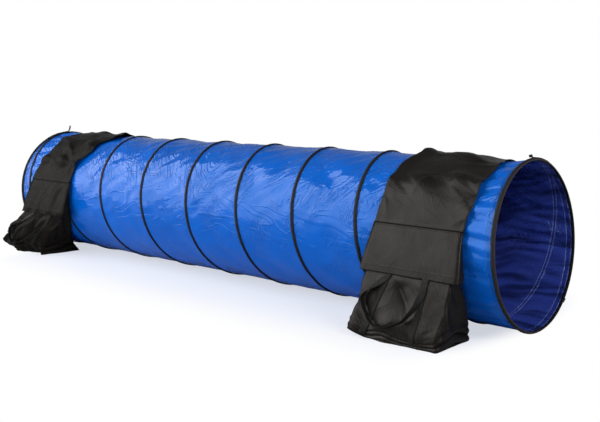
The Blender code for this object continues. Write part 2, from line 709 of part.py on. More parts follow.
def smooth_route(points, steps):
    """Points on one smooth curve through a route, evenly numbered along it."""
    ends = [points[0]] + list(points) + [points[-1]]
    route = []
    for step in range(steps + 1):
        place_along = step / steps * (len(points) - 1)
        index = min(int(place_along), len(points) - 2)
        t = place_along - index
        a, b, c, d = (Vector(p) for p in ends[index:index + 4])
        route.append(0.5 * (2.0 * b + (c - a) * t + (2.0 * a - 5.0 * b + 4.0 * c - d) * t * t
                            + (3.0 * b - a - 3.0 * c + d) * t ** 3))
    return route


def handle_point(down, x, lift, panel):
    """Point over a pocket's front, down its slope from the handle's root."""
    return on_front(panel, x, HANDLE_ROOT_Z - down / SLOPE_LENGTH, lift)


def build_handle(panel, parent):
    """Webbing loop that hangs over the pocket's front and stands on edge below."""
    left, right = (strap_x(index, HANDLE_ROOT_Z) for index in (0, 1))
    corners = [(left + (right - left) * across, HANDLE_DROP * down) for across, down in HANDLE_ROUTE]
    route = smooth_route(corners, HANDLE_STEPS)
    half_width, half_wall = WEB_WIDTH / 2.0, WEB_THICKNESS / 2.0
    rest_lift = 2.0 * SEAT + WEB_THICKNESS
    rings = []
    for index, (x, down) in enumerate(route):
        share = index / HANDLE_STEPS
        turned = min(1.0, min(share, 1.0 - share) / HANDLE_TWIST_SHARE)
        twist = math.radians(90.0) * (3.0 * turned ** 2 - 2.0 * turned ** 3)
        before, after = route[max(index - 1, 0)], route[min(index + 1, HANDLE_STEPS)]
        run = Vector((after[0] - before[0], after[1] - before[1])).normalized()
        if index in (0, HANDLE_STEPS):
            run = Vector((0.0, 1.0 if index == 0 else -1.0))
        across = Vector((run.y, -run.x))
        centre = rest_lift + half_wall * math.cos(twist) + half_width * math.sin(twist)
        ring = []
        for wide, thick in ((-1, -1), (0, -1), (1, -1), (1, 1), (0, 1), (-1, 1)):
            flat = wide * half_width * math.cos(twist) - thick * half_wall * math.sin(twist)
            lift = centre + wide * half_width * math.sin(twist) + thick * half_wall * math.cos(twist)
            ring.append(handle_point(down + across.y * flat, x + across.x * flat, lift, panel))
        rings.append(ring)
    bm = loft(rings)
    # The twisted faces are cut along their shorter diagonal, alike on both faces of the webbing.
    bmesh.ops.triangulate(bm, faces=bm.faces, quad_method="SHORT_EDGE")
    axis = on_front(panel, 0.0, HANDLE_ROOT_Z, rest_lift + WEB_THICKNESS)
    add_mesh(panel.name + "_handle", bm, "webbing", axis, parent)


def build_saddlebag(name, middle_x, parent):
    """One saddlebag: yoke, and on either side a pocket with its flap and webbing."""
    bag = add_empty(name + "_saddlebag", Vector((middle_x, 0.0, AXIS_HEIGHT + BAG_RADIUS)), parent)
    build_yoke(name, middle_x, bag)
    for word, side in SIDES.items():
        panel = Panel(name + "_" + word, middle_x, side)
        seam = Vector((middle_x, side * SEAM_Y, SEAM_Z))
        pocket = add_empty(panel.name + "_pocket_swing", seam, bag)
        flap = add_empty(panel.name + "_flap_hinge", seam, pocket)
        build_pocket(panel, pocket)
        build_flap(panel, flap)
        build_fastener(panel, "loop", SEAT, pocket)
        build_fastener(panel, "hook", FLAP_LIFT - SEAT - FASTENER_THICKNESS, flap)
        build_straps(panel, pocket)
        build_handle(panel, pocket)


def main():
    """Build the tunnel and its saddlebags."""
    clear_scene()
    near_end = add_empty("near_end", Vector((NEAR_X, 0.0, AXIS_HEIGHT)))
    far_end = add_empty("far_end", Vector((FAR_X, 0.0, AXIS_HEIGHT)), near_end)
    build_skin(near_end)
    build_wire(near_end)
    build_tape(near_end)
    build_mouth("near", near_hoop_x, 1.0, near_end)
    build_mouth("far", lambda angle: FAR_X, -1.0, far_end)
    build_saddlebag("near", BAGS["near"], near_end)
    build_saddlebag("far", BAGS["far"], far_end)


main()
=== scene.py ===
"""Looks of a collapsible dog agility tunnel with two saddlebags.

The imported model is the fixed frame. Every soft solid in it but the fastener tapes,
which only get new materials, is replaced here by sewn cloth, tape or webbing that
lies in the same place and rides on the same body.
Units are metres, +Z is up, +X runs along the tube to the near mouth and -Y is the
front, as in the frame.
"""
import sys
import logging
import math
from collections.abc import Callable, Sequence
from dataclasses import dataclass, field
from enum import Enum
from functools import partialmethod, reduce

import bmesh
import bpy
import numpy as np
from bmesh.types import BMesh
from bpy.types import Material, Node, NodeOutputs, NodeTree, Object
from mathutils import Matrix, Vector


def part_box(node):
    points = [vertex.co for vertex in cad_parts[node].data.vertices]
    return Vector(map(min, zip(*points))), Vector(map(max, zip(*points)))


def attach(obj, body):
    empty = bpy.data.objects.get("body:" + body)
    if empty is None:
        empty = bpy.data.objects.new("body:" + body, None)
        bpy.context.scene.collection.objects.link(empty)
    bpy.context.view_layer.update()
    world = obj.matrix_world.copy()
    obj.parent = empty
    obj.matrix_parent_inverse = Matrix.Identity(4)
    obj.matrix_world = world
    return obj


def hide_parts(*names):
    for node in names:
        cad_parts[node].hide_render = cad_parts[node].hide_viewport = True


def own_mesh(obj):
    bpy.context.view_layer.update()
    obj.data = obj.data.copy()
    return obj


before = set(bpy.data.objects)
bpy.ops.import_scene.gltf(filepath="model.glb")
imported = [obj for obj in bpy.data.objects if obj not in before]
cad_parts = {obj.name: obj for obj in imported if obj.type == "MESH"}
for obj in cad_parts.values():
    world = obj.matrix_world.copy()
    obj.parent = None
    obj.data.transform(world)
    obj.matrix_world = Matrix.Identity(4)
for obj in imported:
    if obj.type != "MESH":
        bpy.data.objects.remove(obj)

logging.basicConfig(level=logging.INFO, format="%(message)s", stream=sys.stdout)
log = logging.getLogger("tunnel")

Array = np.ndarray
Socket = bpy.types.NodeSocket
Colour = Point = tuple[float, float, float]
Places = tuple[float, ...]
TURN = 2.0 * math.pi


class Slot(Enum):
    """The record's material slots."""

    TUNNEL_CLOTH = "tunnel_cloth"
    BAG_CLOTH = "bag_cloth"
    EDGE_TAPE = "edge_tape"
    WEBBING = "webbing"
    FASTENER = "fastener_tape"
    STEEL = "spring_steel"
    PLASTIC = "cap_plastic"


class Side(Enum):
    """The two sides of a saddlebag, by the sign of y."""

    FRONT = -1.0
    REAR = 1.0


class Mouth(Enum):
    """The two mouths of the tunnel, by the sign of x."""

    NEAR = 1.0
    FAR = -1.0

    @property
    def word(self) -> str:
        """The mouth's word in the names of pieces."""
        return self.name.lower()

    @property
    def body(self) -> str:
        """The body that the mouth's pieces ride on."""
        return self.word + "_end"


def ease(share: Array) -> Array:
    """Blend smoothly from 0 to 1 over shares from 0 to 1."""
    held = np.clip(share, 0.0, 1.0)
    return held * held * (3.0 - 2.0 * held)


def between(value: Array, low: float, high: float) -> Array:
    """Ease from 0 at low to 1 at high; high may lie below low."""
    return ease((value - low) / (high - low))


def bump(value: Array, middle: float, width: float) -> Array:
    """A soft hill of height 1 at the middle, as wide as width."""
    return np.exp(-((value - middle) / width) ** 2)


@dataclass(frozen=True)
class Waves:
    """Ripples that run roughly one way over a sheet, as a sum of sine waves.

    heading is the direction in which they travel, in degrees from the sheet's first
    axis, and spread how far single waves turn from it. ring is the length over which
    the second axis closes on itself, or 0.
    """

    seed: int
    length: tuple[float, float]
    heading: float
    spread: float
    count: int = 14
    ring: float = 0.0

    def at(self, first: Array, second: Array, shape: Callable[[Array], Array] = np.sin) -> Array:
        """Height of the ripples.

        Args:
            first: Places along the sheet's first axis, in metres.
            second: Places along its second axis.
            shape: The wave's form, a function of its angle.

        Returns:
            Heights about 0, mostly within -2 and 2.
        """
        rng = np.random.default_rng(self.seed)
        total = np.zeros(np.broadcast(first, second).shape)
        for _ in range(self.count):
            length = math.exp(rng.uniform(math.log(self.length[0]), math.log(self.length[1])))
            turn = math.radians(self.heading + rng.uniform(-1.0, 1.0) * self.spread)
            phase = rng.uniform(0.0, TURN)
            per_first = TURN * math.cos(turn) / length
            per_second = TURN * math.sin(turn) / length
            if self.ring:
                per_second = round(per_second * self.ring / TURN) * TURN / self.ring
            total += shape(per_first * first + per_second * second + phase)
        return total / math.sqrt(self.count / 2.0)

    def facets(self, first: Array, second: Array) -> Array:
        """The same ripples with flat sides that meet in sharp folds."""
        return self.at(first, second, lambda turn: np.arcsin(np.sin(turn)) * 2.0 / math.pi)

    def creases(self, first: Array, second: Array, sharpness: float) -> Array:
        """Narrow ridges of height 1 along the lines where the ripples cross 0."""
        return np.exp(-np.abs(self.at(first, second)) * sharpness)

    def along(self, first: Array) -> Array:
        """The ripples along a line."""
        return self.at(first, np.zeros_like(first))


def paired(first: Array, second: Array) -> Array:
    """Pairs of values from two arrays, which are broadcast together."""
    return np.stack(np.broadcast_arrays(first, second), axis=-1)


def unit(vectors: Array) -> Array:
    """Rows of vectors, each made one long."""
    return vectors / np.linalg.norm(vectors, axis=1)[:, None]


def summed(steps: Array) -> Array:
    """Length run before each point of a line, from the lengths of its steps."""
    return np.concatenate([[0.0], np.cumsum(steps)])


def link(name: str, data: bpy.types.ID) -> Object:
    """Put a mesh, lamp or camera into the scene as an object."""
    item = bpy.data.objects.new(name, data)
    bpy.context.scene.collection.objects.link(item)
    return item


def turn_away(bm: BMesh, inside: Callable[[Vector], Vector]) -> None:
    """Turn a mesh's faces outwards.

    Args:
        bm: The mesh, all its faces turned alike.
        inside: Gives, for a face's middle, a point behind the face.
    """
    away = 0.0
    for face in bm.faces:
        middle = face.calc_center_median()
        away += face.calc_area() * face.normal.dot(middle - inside(middle))
    if away < 0.0:
        bmesh.ops.reverse_faces(bm, faces=bm.faces)


@dataclass
class Surface:
    """Rows of points that become one sheet, with its own flat coordinates.

    points has the shape (rows, columns, 3) and flat (rows, columns, 2), in metres.
    """

    points: Array
    flat: Array
    second_flat: Array | None = None

    def to_bmesh(self, inside: Callable[[Vector], Vector] | None = None) -> BMesh:
        """Lay a grid over the points.

        Args:
            inside: Gives, for a face's middle, a point behind the face.

        Returns:
            The mesh, its faces turned away from the inside where that is given.
        """
        rows, columns = self.points.shape[:2]
        bm = bmesh.new()
        layers = [(bm.loops.layers.uv.new("UVMap"), self.flat.reshape(-1, 2))]
        if self.second_flat is not None:
            layers.append((bm.loops.layers.uv.new("Second"), self.second_flat.reshape(-1, 2)))
        bmesh.ops.create_grid(bm, x_segments=columns - 1, y_segments=rows - 1, size=0.5)
        bm.verts.ensure_lookup_table()
        for vert, point in zip(bm.verts, self.points.reshape(-1, 3).tolist()):
            vert.co = point
        for layer, flat in layers:
            values = flat.tolist()
            for face in bm.faces:
                for loop in face.loops:
                    loop[layer].uv = values[loop.vert.index]
        bmesh.ops.remove_doubles(bm, verts=bm.verts, dist=1e-6)
        bmesh.ops.dissolve_degenerate(bm, edges=bm.edges, dist=1e-7)
        bm.normal_update()
        if inside is not None:
            turn_away(bm, inside)
        return bm


def off_tube(angle: Array) -> Array:
    """Unit vectors straight off the tube at angles round it."""
    return np.stack([np.zeros_like(angle), np.sin(angle), np.cos(angle)], axis=-1)


def sweep(path: Array, across: Array, up: Array, outline: Array, along: Array) -> Surface:
    """Carry an outline along a path.

    Args:
        path: Points of the path, (rows, 3).
        across: Unit vectors across the path, one a row.
        up: Unit vectors off the surface, one a row.
        outline: Points (across, up) of the outline, (columns, 2) or (rows, columns, 2).
        along: Length along the path of each row.

    Returns:
        The swept surface. Its flat coordinates are the length along the path and
        the length along the outline from its middle.
    """
    shape = np.broadcast_to(outline, (len(path),) + outline.shape[-2:])
    points = path[:, None] + across[:, None] * shape[..., :1] + up[:, None] * shape[..., 1:]
    steps = np.linalg.norm(np.diff(shape[0], axis=0), axis=1)
    span = summed(steps)
    return Surface(points, paired(along[:, None], span[None, :] - span[-1] / 2.0))


def close_ends(bm: BMesh) -> None:
    """Cap the open ends of a swept tube and turn its faces outwards."""
    open_edges = [edge for edge in bm.edges if edge.is_boundary]
    bmesh.ops.holes_fill(bm, edges=open_edges, sides=0)
    bmesh.ops.recalc_face_normals(bm, faces=bm.faces)


class Tree:
    """Short hand for adding nodes to one node tree and joining them."""

    def __init__(self, tree: NodeTree) -> None:
        """Hold the tree that nodes go into."""
        self.tree = tree

    def add(self, kind: str, settings: dict[str, object] | None = None, **inputs: object) -> Node:
        """Add a node.

        Args:
            kind: The node's type, such as ShaderNodeMath.
            settings: Values of the node's own properties.
            **inputs: Values or sockets for its inputs, by name with _ for a space.

        Returns:
            The new node.
        """
        node = self.tree.nodes.new(kind)
        for name, value in (settings or {}).items():
            setattr(node, name, value)
        for name, value in inputs.items():
            self.feed(node.inputs[name.replace("_", " ")], value)
        return node

    def feed(self, socket: Socket, value: object) -> None:
        """Join a socket to an input, or set the input's value."""
        if isinstance(value, Socket):
            self.tree.links.new(value, socket)
        else:
            socket.default_value = value

    def fill(self, node: Node, *values: object) -> Socket:
        """Give a node's first inputs their values and return its first output."""
        for socket, value in zip(node.inputs, values):
            self.feed(socket, value)
        return node.outputs[0]

    def math(self, operation: str, *values: object) -> Socket:
        """Add a Math node and return its result."""
        return self.fill(self.add("ShaderNodeMath", {"operation": operation}), *values)

    # The Math nodes that are used most
    plus = partialmethod(math, "ADD")
    minus = partialmethod(math, "SUBTRACT")
    times = partialmethod(math, "MULTIPLY")
    larger = partialmethod(math, "MAXIMUM")

    def from_middle(self, value: object, middle: float = 0.5) -> Socket:
        """How far a value is from a middle one, either way."""
        return self.math("ABSOLUTE", self.minus(value, middle))

    def mix(self, share: object, first: object, second: object) -> Socket:
        """Mix two colours, each a socket or three numbers, and return the result."""
        node = self.add("ShaderNodeMix", {"data_type": "RGBA"})
        for name, value in (("Factor_Float", share), ("A_Color", first), ("B_Color", second)):
            value = (*value, 1.0) if isinstance(value, tuple) else value
            self.feed(next(s for s in node.inputs if s.identifier == name), value)
        return next(s for s in node.outputs if s.identifier == "Result_Color")

    def blend(self, share: object, first: Socket, second: Socket) -> Socket:
        """Blend two shaders and return the result."""
        return self.fill(self.add("ShaderNodeMixShader"), share, first, second)

    def glow(self, colour: Colour, strength: float) -> Socket:
        """Add an Emission shader."""
        return self.add("ShaderNodeEmission", Color=(*colour, 1.0), Strength=strength).outputs["Emission"]

    def noise(self, vector: object, scale: float, detail: float = 2.0) -> Socket:
        """Add a Noise Texture and return its value."""
        return self.add("ShaderNodeTexNoise", Vector=vector, Scale=scale, Detail=detail).outputs["Fac"]

    def span(self, value: object, low: float, high: float, to_low: float = 0.0,
             to_high: float = 1.0) -> Socket:
        """Map a span of values smoothly onto another."""
        return self.add("ShaderNodeMapRange", {"interpolation_type": "SMOOTHSTEP"}, Value=value, From_Min=low,
                        From_Max=high, To_Min=to_low, To_Max=to_high).outputs["Result"]

    def parts(self, vector: object) -> NodeOutputs:
        """Take a vector apart into X, Y and Z."""
        return self.add("ShaderNodeSeparateXYZ", Vector=vector).outputs

    def stretched(self, vector: object, scale: Sequence[float], turn: float = 0.0) -> Socket:
        """Scale a vector along each axis, after a turn about Z in degrees."""
        turned = self.add("ShaderNodeMapping", Vector=vector, Rotation=(0.0, 0.0, math.radians(turn)))
        node = self.add("ShaderNodeVectorMath", {"operation": "MULTIPLY"})
        return self.fill(node, turned.outputs["Vector"], tuple(scale))

    def place(self, group: NodeTree, **inputs: object) -> NodeOutputs:
        """Place a node group with its inputs and return its outputs."""
        return self.add("ShaderNodeGroup", {"node_tree": group}, **inputs).outputs


class Group(Tree):
    """A shader node group that is being built."""

    def __init__(self, name: str, inputs: dict[str, float], outputs: Sequence[str]) -> None:
        """Start the group.

        Args:
            name: The group's name.
            inputs: Its float inputs with their values; one named Vector is a vector.
            outputs: Its float outputs.
        """
        super().__init__(bpy.data.node_groups.new(name, "ShaderNodeTree"))
        sockets = self.tree.interface
        for word, value in inputs.items():
            kind = "NodeSocketVector" if word == "Vector" else "NodeSocketFloat"
            socket = sockets.new_socket(name=word, in_out="INPUT", socket_type=kind)
            if kind == "NodeSocketFloat":
                socket.default_value = value
        for word in outputs:
            sockets.new_socket(name=word, in_out="OUTPUT", socket_type="NodeSocketFloat")
        self.given = self.add("NodeGroupInput").outputs
        self.made = self.add("NodeGroupOutput").inputs


@dataclass(frozen=True)
class Streaks:
    """Noise drawn out one way: its turn in degrees and its scales along and across."""

    turn: float
    along: float
    across: float
    detail: float = 1.0

    def on(self, tree: Tree, vector: object) -> Socket:
        """The streaks on flat coordinates, as values about 0.5."""
        scale = (self.along, self.across, 1.0)
        return tree.noise(tree.stretched(vector, scale, self.turn), 1.0, self.detail)

    def lines(self, tree: Tree, vector: object, half: float) -> Socket:
        """Thin lines between the streaks, 1 in their middle and 0 from half on."""
        return tree.span(tree.from_middle(self.on(tree, vector)), half, 0.0)


class Effects:
    """Effects that more than one finish uses, each a node group built once."""

    def __init__(self) -> None:
        """Build the groups."""
        self.stitches = self.make_stitches()
        self.weave = self.make_weave()
        self.dust = self.make_dust()

    def make_stitches(self) -> NodeTree:
        """A row of stitches along a line of the sheet."""
        group = Group("stitch_row", {"Along": 0.0, "Off line": 0.0, "Pitch": 0.004, "Half width": 0.0005},
                      ("Thread", "Height"))
        given = group.given
        place = group.math("FRACT", group.math("DIVIDE", given["Along"], given["Pitch"]))
        run = group.span(group.from_middle(place), 0.38, 0.30)
        off = group.math("DIVIDE", group.math("ABSOLUTE", given["Off line"]), given["Half width"])
        thread = group.times(run, group.span(off, 1.1, 0.7))
        pulled = group.times(group.span(off, 4.0, 0.5), 0.6)
        group.feed(group.made["Thread"], thread)
        group.feed(group.made["Height"], group.minus(thread, pulled))
        return group.tree

    def make_weave(self) -> NodeTree:
        """Plain weave: threads that go over and under each other."""
        group = Group("plain_weave", {"Vector": 0.0, "Threads": 900.0}, ("Height",))
        parts = group.parts(group.given["Vector"])
        waves = [group.math("SINE", group.times(group.times(parts[axis], group.given["Threads"]), math.pi))
                 for axis in ("X", "Y")]
        group.feed(group.made["Height"], group.math("ABSOLUTE", group.times(*waves)))
        return group.tree

    def make_dust(self) -> NodeTree:
        """Lint and rubbed places: a mask that is 0 nearly everywhere."""
        group = Group("rubbed", {"Vector": 0.0, "Amount": 0.5}, ("Mask",))
        patch = group.span(group.noise(group.given["Vector"], 9.0, 3.0), 0.45, 0.75)
        speck = group.span(group.noise(group.given["Vector"], 160.0, 4.0), 0.52, 0.72)
        group.feed(group.made["Mask"], group.times(group.times(patch, speck), group.given["Amount"]))
        return group.tree


@dataclass(frozen=True)
class Finish:
    """What every finish has: a name, its two colours and its gloss."""

    name: str
    colour: Colour
    second: Colour
    roughness: float
    specular: float = 0.5
    tint: Colour = (1.0, 1.0, 1.0)
    metallic: float = 0.0

    def start(self) -> tuple[Material, Tree]:
        """Make the material with its shader's own constants set."""
        material = bpy.data.materials.new(self.name)
        material.use_nodes = True
        shader = material.node_tree.nodes["Principled BSDF"]
        shader.inputs["Specular IOR Level"].default_value = self.specular
        shader.inputs["Specular Tint"].default_value = (*self.tint, 1.0)
        shader.inputs["Metallic"].default_value = self.metallic
        return material, Tree(material.node_tree)

    @staticmethod
    def flat_place(tree: Tree, layer: str = "UVMap") -> Socket:
        """The sheet's own flat coordinates, in metres."""
        return tree.add("ShaderNodeUVMap", {"uv_map": layer}).outputs["UV"]

    @staticmethod
    def object_place(tree: Tree) -> Socket:
        """The point's place in the part."""
        return tree.add("ShaderNodeTexCoord").outputs["Object"]

    def blotched(self, tree: Tree, pattern: Socket, low: float, high: float) -> Socket:
        """The two colours, changing from one to the other as a pattern goes from low to high."""
        return tree.mix(tree.span(pattern, low, high), self.colour, self.second)

    def varied(self, tree: Tree, pattern: Socket, least: float, most: float) -> Socket:
        """The roughness, which a pattern takes from one share of it to another."""
        return tree.span(pattern, 0.3, 0.7, self.roughness * least, min(1.0, self.roughness * most))

    @staticmethod
    def dress(tree: Tree, shade: Socket, roughness: object, heights: Sequence[tuple[Socket, float]]) -> None:
        """Join a colour, a roughness and stacked Bump nodes to the shader.

        Args:
            tree: The material's tree.
            shade: The colour.
            roughness: The roughness, a socket or a number.
            heights: Pairs of a height socket from 0 to 1 and its depth in metres.
        """
        shader = tree.tree.nodes["Principled BSDF"]
        tree.feed(shader.inputs["Base Color"], shade)
        tree.feed(shader.inputs["Roughness"], roughness)
        normal = None
        for height, depth in heights:
            node = tree.add("ShaderNodeBump", Strength=1.0, Distance=depth, Height=height)
            if normal is not None:
                tree.feed(node.inputs["Normal"], normal)
            normal = node.outputs["Normal"]
        tree.feed(shader.inputs["Normal"], normal)


@dataclass(frozen=True)
class ClothPlace:
    """Where a point of the tube's cloth is, as sockets.

    point is its place in the part, from_mouth its distance from the nearer mouth, arc
    its place round the tube, and flat and swung the last two as a vector, plain and
    led astray so that folds along it wander.
    """

    point: Socket
    from_mouth: Socket
    arc: Socket
    height: Socket
    flat: Socket
    swung: Socket

    @classmethod
    def of(cls, tree: Tree, point: Socket, second_flat: Socket) -> "ClothPlace":
        """Work the place out from the point and its distances from the mouth and round the tube."""
        parts = tree.parts(second_flat)
        flat = tree.add("ShaderNodeCombineXYZ", X=parts["X"], Y=parts["Y"]).outputs["Vector"]
        drift = tree.add("ShaderNodeTexNoise", Vector=point, Scale=4.5, Detail=1.0).outputs["Color"]
        swing = tree.add("ShaderNodeVectorMath", {"operation": "MULTIPLY_ADD"})
        swung = tree.fill(swing, drift, (0.09, 0.09, 0.0), flat)
        return cls(point, parts["X"], parts["Y"], tree.parts(point)["Z"], flat, swung)


@dataclass(frozen=True)
class TunnelCloth(Finish):
    """Coated nylon of the tube: glossy, crinkled, sewn in strips along the spiral.

    Each of the seams runs along the tube: its place round it and its two ends; a thin
    dark line painted in its fold stands for the joint and the shade in it. A row of
    stitches lies row_off from the spiral and hem_off from a mouth, on cloth that is
    doubled as far as allowance and hem. lengthwise is the depth of the long folds that
    only the lining has, and where it is set, shade is painted into their hollows.
    """

    seams: tuple[tuple[float, float, float], ...] = ()
    thread_half: float = 0.0008
    thread_share: float = 0.55
    lengthwise: float = 0.0
    stitch: float = 0.0045
    row_off: float = 0.0060
    hem_off: float = 0.026
    allowance: float = 0.0100
    hem: float = 0.0290
    fold_edge: float = 0.0008
    long_folds: Streaks = Streaks(4.0, 2.4, 15.0)

    def build(self, effects: Effects) -> Material:
        """Make the material."""
        material, tree = self.start()
        spiral = tree.parts(self.flat_place(tree))
        along, off = spiral["X"], spiral["Y"]
        at = ClothPlace.of(tree, self.object_place(tree), self.flat_place(tree, "Second"))
        rows = [tree.place(effects.stitches, Along=run, Pitch=self.stitch, Half_width=self.thread_half,
                           Off_line=tree.minus(away, line))
                for run, away, line in ((along, off, self.row_off), (at.arc, at.from_mouth, self.hem_off))]
        thread = tree.larger(*(row["Thread"] for row in rows))
        pulled = tree.plus(*(row["Height"] for row in rows))
        folded = tree.larger(tree.span(off, self.allowance, self.allowance - self.fold_edge),
                             tree.span(at.from_mouth, self.hem, self.hem - self.fold_edge))
        seam_shade_line, seam_fold = self.seam_masks(tree, at)

        dark = tuple(0.45 * c for c in self.colour)
        pale = tuple(min(1.0, 1.6 * c + 0.10) for c in self.colour)
        shade = self.blotched(tree, tree.noise(at.point, 5.0, 3.0), 0.30, 0.72)
        # Painted shade: the seam line darkens each seam's fold, for the joint and the shade in it.
        for mask, share, colour in ((folded, 0.45, dark), (seam_shade_line, 0.75, dark),
                                    (thread, self.thread_share, pale)):
            shade = tree.mix(tree.times(mask, share), shade, colour)
        dust = tree.place(effects.dust, Vector=at.point, Amount=0.10)
        shade = tree.mix(dust["Mask"], shade, (0.50, 0.55, 0.70))
        heights = self.crumpled(tree, at)
        if self.lengthwise:
            # The lining gets painted shade in the hollows of its long folds and higher up.
            shade = self.painted_fold_shade(tree, at, shade)
            heights.append((self.roofed(tree, self.long_folds.on(tree, at.swung), 0.45), self.lengthwise))
        heights += [(pulled, 0.0006), (folded, 0.0005), (seam_fold, 0.0008)]
        self.dress(tree, shade, self.varied(tree, tree.noise(at.point, 30.0, 3.0), 0.85, 1.25), heights)
        return material

    @staticmethod
    def roofed(tree: Tree, wave: Socket, steepness: float) -> Socket:
        """A wave with a sharp bottom where it passes its middle."""
        return tree.plus(wave, tree.times(tree.from_middle(wave), steepness))

    def crumpled(self, tree: Tree, at: ClothPlace) -> list[tuple[Socket, float]]:
        """Creases of a cloth that is pulled slantwise high up and lies smooth low down.

        Args:
            tree: The material's tree.
            at: Where the point is.

        Returns:
            Heights with their depths in metres.
        """
        high = tree.span(at.height, 0.36, 0.50)
        calm = tree.span(at.height, 0.14, 0.31)
        low = tree.times(tree.minus(1.0, high), calm)
        flows = [tree.times(self.roofed(tree, streaks.on(tree, at.swung), 1.6), weight)
                 for streaks, weight in ((Streaks(42.0, 4.5, 24.0), high), (Streaks(-12.0, 3.6, 20.0), low))]
        creases = []
        for turn, across, weight, rare in ((44.0, 34.0, high, 0.44), (34.0, 46.0, high, 0.47),
                                           (-14.0, 30.0, low, 0.49), (66.0, 46.0, calm, 0.54)):
            line = Streaks(turn, 7.0, across, 0.0).lines(tree, at.swung, 0.055)
            patch = tree.span(tree.noise(at.point, 8.0 + turn * 0.03, 1.0), rare - 0.04, rare + 0.04)
            creases.append(tree.times(tree.times(line, patch), weight))
        hatch = Streaks(0.0, 240.0, 22.0, 2.0).on(tree, at.flat)
        return [(tree.plus(*flows), 0.0030), (reduce(tree.larger, creases), 0.0013), (hatch, 0.00012)]

    def painted_fold_shade(self, tree: Tree, at: ClothPlace, shade: Socket) -> Socket:
        """Paint shade into the colour: darker in the hollows between long folds, as light from the mouth
        would leave them, and higher up.
        """
        fine = Streaks(-6.0, 4.0, 42.0).on(tree, at.swung)
        both = tree.plus(tree.times(self.long_folds.on(tree, at.swung), 0.65), tree.times(fine, 0.35))
        # Painted shade: lit is the share of the colour kept, low in the fold hollows and less higher up.
        lit = tree.span(both, 0.38, 0.60, 0.30, 1.35)
        lit = tree.times(lit, tree.span(at.height, 0.10, 0.52, 1.15, 0.72))
        return tree.mix(lit, (0.0, 0.0, 0.0), shade)

    def seam_masks(self, tree: Tree, at: ClothPlace) -> tuple[Socket, Socket]:
        """Seams that run along the tube, where two lengths of the strip are joined.

        Args:
            tree: The material's tree.
            at: Where the point is.

        Returns:
            A thin dark line painted in the seam's fold, for the joint and the shade in it, and the raised
            seam allowance beside it.
        """
        x = tree.parts(at.point)["X"]
        line, fold = 0.0, 0.0
        for seam_arc, low, high in self.seams:
            off = tree.minus(at.arc, seam_arc)
            middle, half = (low + high) / 2.0, (high - low) / 2.0
            within = tree.span(tree.from_middle(x, middle), half + 0.004, half)
            # Painted shade: thin is a dark line along the seam's fold, for the joint and the shade in it.
            thin = tree.span(tree.math("ABSOLUTE", off), 0.0013, 0.0005)
            raised = tree.times(tree.span(off, -0.0005, 0.0005), tree.span(off, 0.011, 0.009))
            line = tree.larger(line, tree.times(thin, within))
            fold = tree.larger(fold, tree.times(raised, within))
        return line, fold


@dataclass(frozen=True)
class BagCloth(Finish):
    """Charcoal coated nylon of the saddlebags, with a fine weave and soft creases.

    hems are the places of stitch rows down the sheet, and limp is how deep its soft
    creases are.
    """

    hems: tuple[float, ...] = ()
    limp: float = 1.0
    stitch: float = 0.004
    thread_half: float = 0.0006

    def build(self, effects: Effects) -> Material:
        """Make the material."""
        material, tree = self.start()
        flat = self.flat_place(tree)
        place = self.object_place(tree)
        along, down = tree.parts(flat)["X"], tree.parts(flat)["Y"]
        thread, pulled = 0.0, 0.0
        for hem in self.hems:
            row = tree.place(effects.stitches, Along=along, Pitch=self.stitch, Half_width=self.thread_half,
                             Off_line=tree.minus(down, hem))
            thread = tree.larger(thread, row["Thread"])
            pulled = tree.plus(pulled, row["Height"])
        shade = self.blotched(tree, tree.noise(place, 11.0, 3.0), 0.30, 0.70)
        dust = tree.place(effects.dust, Vector=place, Amount=0.16)
        shade = tree.mix(dust["Mask"], shade, (0.08, 0.075, 0.07))
        shade = tree.mix(tree.times(thread, 0.6), shade, (0.012, 0.012, 0.012))
        rough = self.varied(tree, tree.noise(place, 24.0, 3.0), 0.88, 1.15)
        weave = tree.place(effects.weave, Vector=flat, Threads=1400.0)["Height"]
        creases = []
        for turn, rare in ((34.0, 0.50), (-40.0, 0.52), (80.0, 0.54)):
            line = Streaks(turn, 6.0, 26.0, 0.0).lines(tree, flat, 0.05)
            patch = tree.span(tree.noise(place, 9.0 + turn * 0.02, 2.0), rare - 0.10, rare + 0.05)
            creases.append(tree.times(line, patch))
        soft = tree.noise(place, 13.0, 1.0)
        sharp = reduce(tree.larger, creases)
        self.dress(tree, shade, rough, ((soft, 0.0030 * self.limp), (sharp, 0.0006 * self.limp),
                                        (weave, 0.00006), (pulled, 0.0005)))
        return material


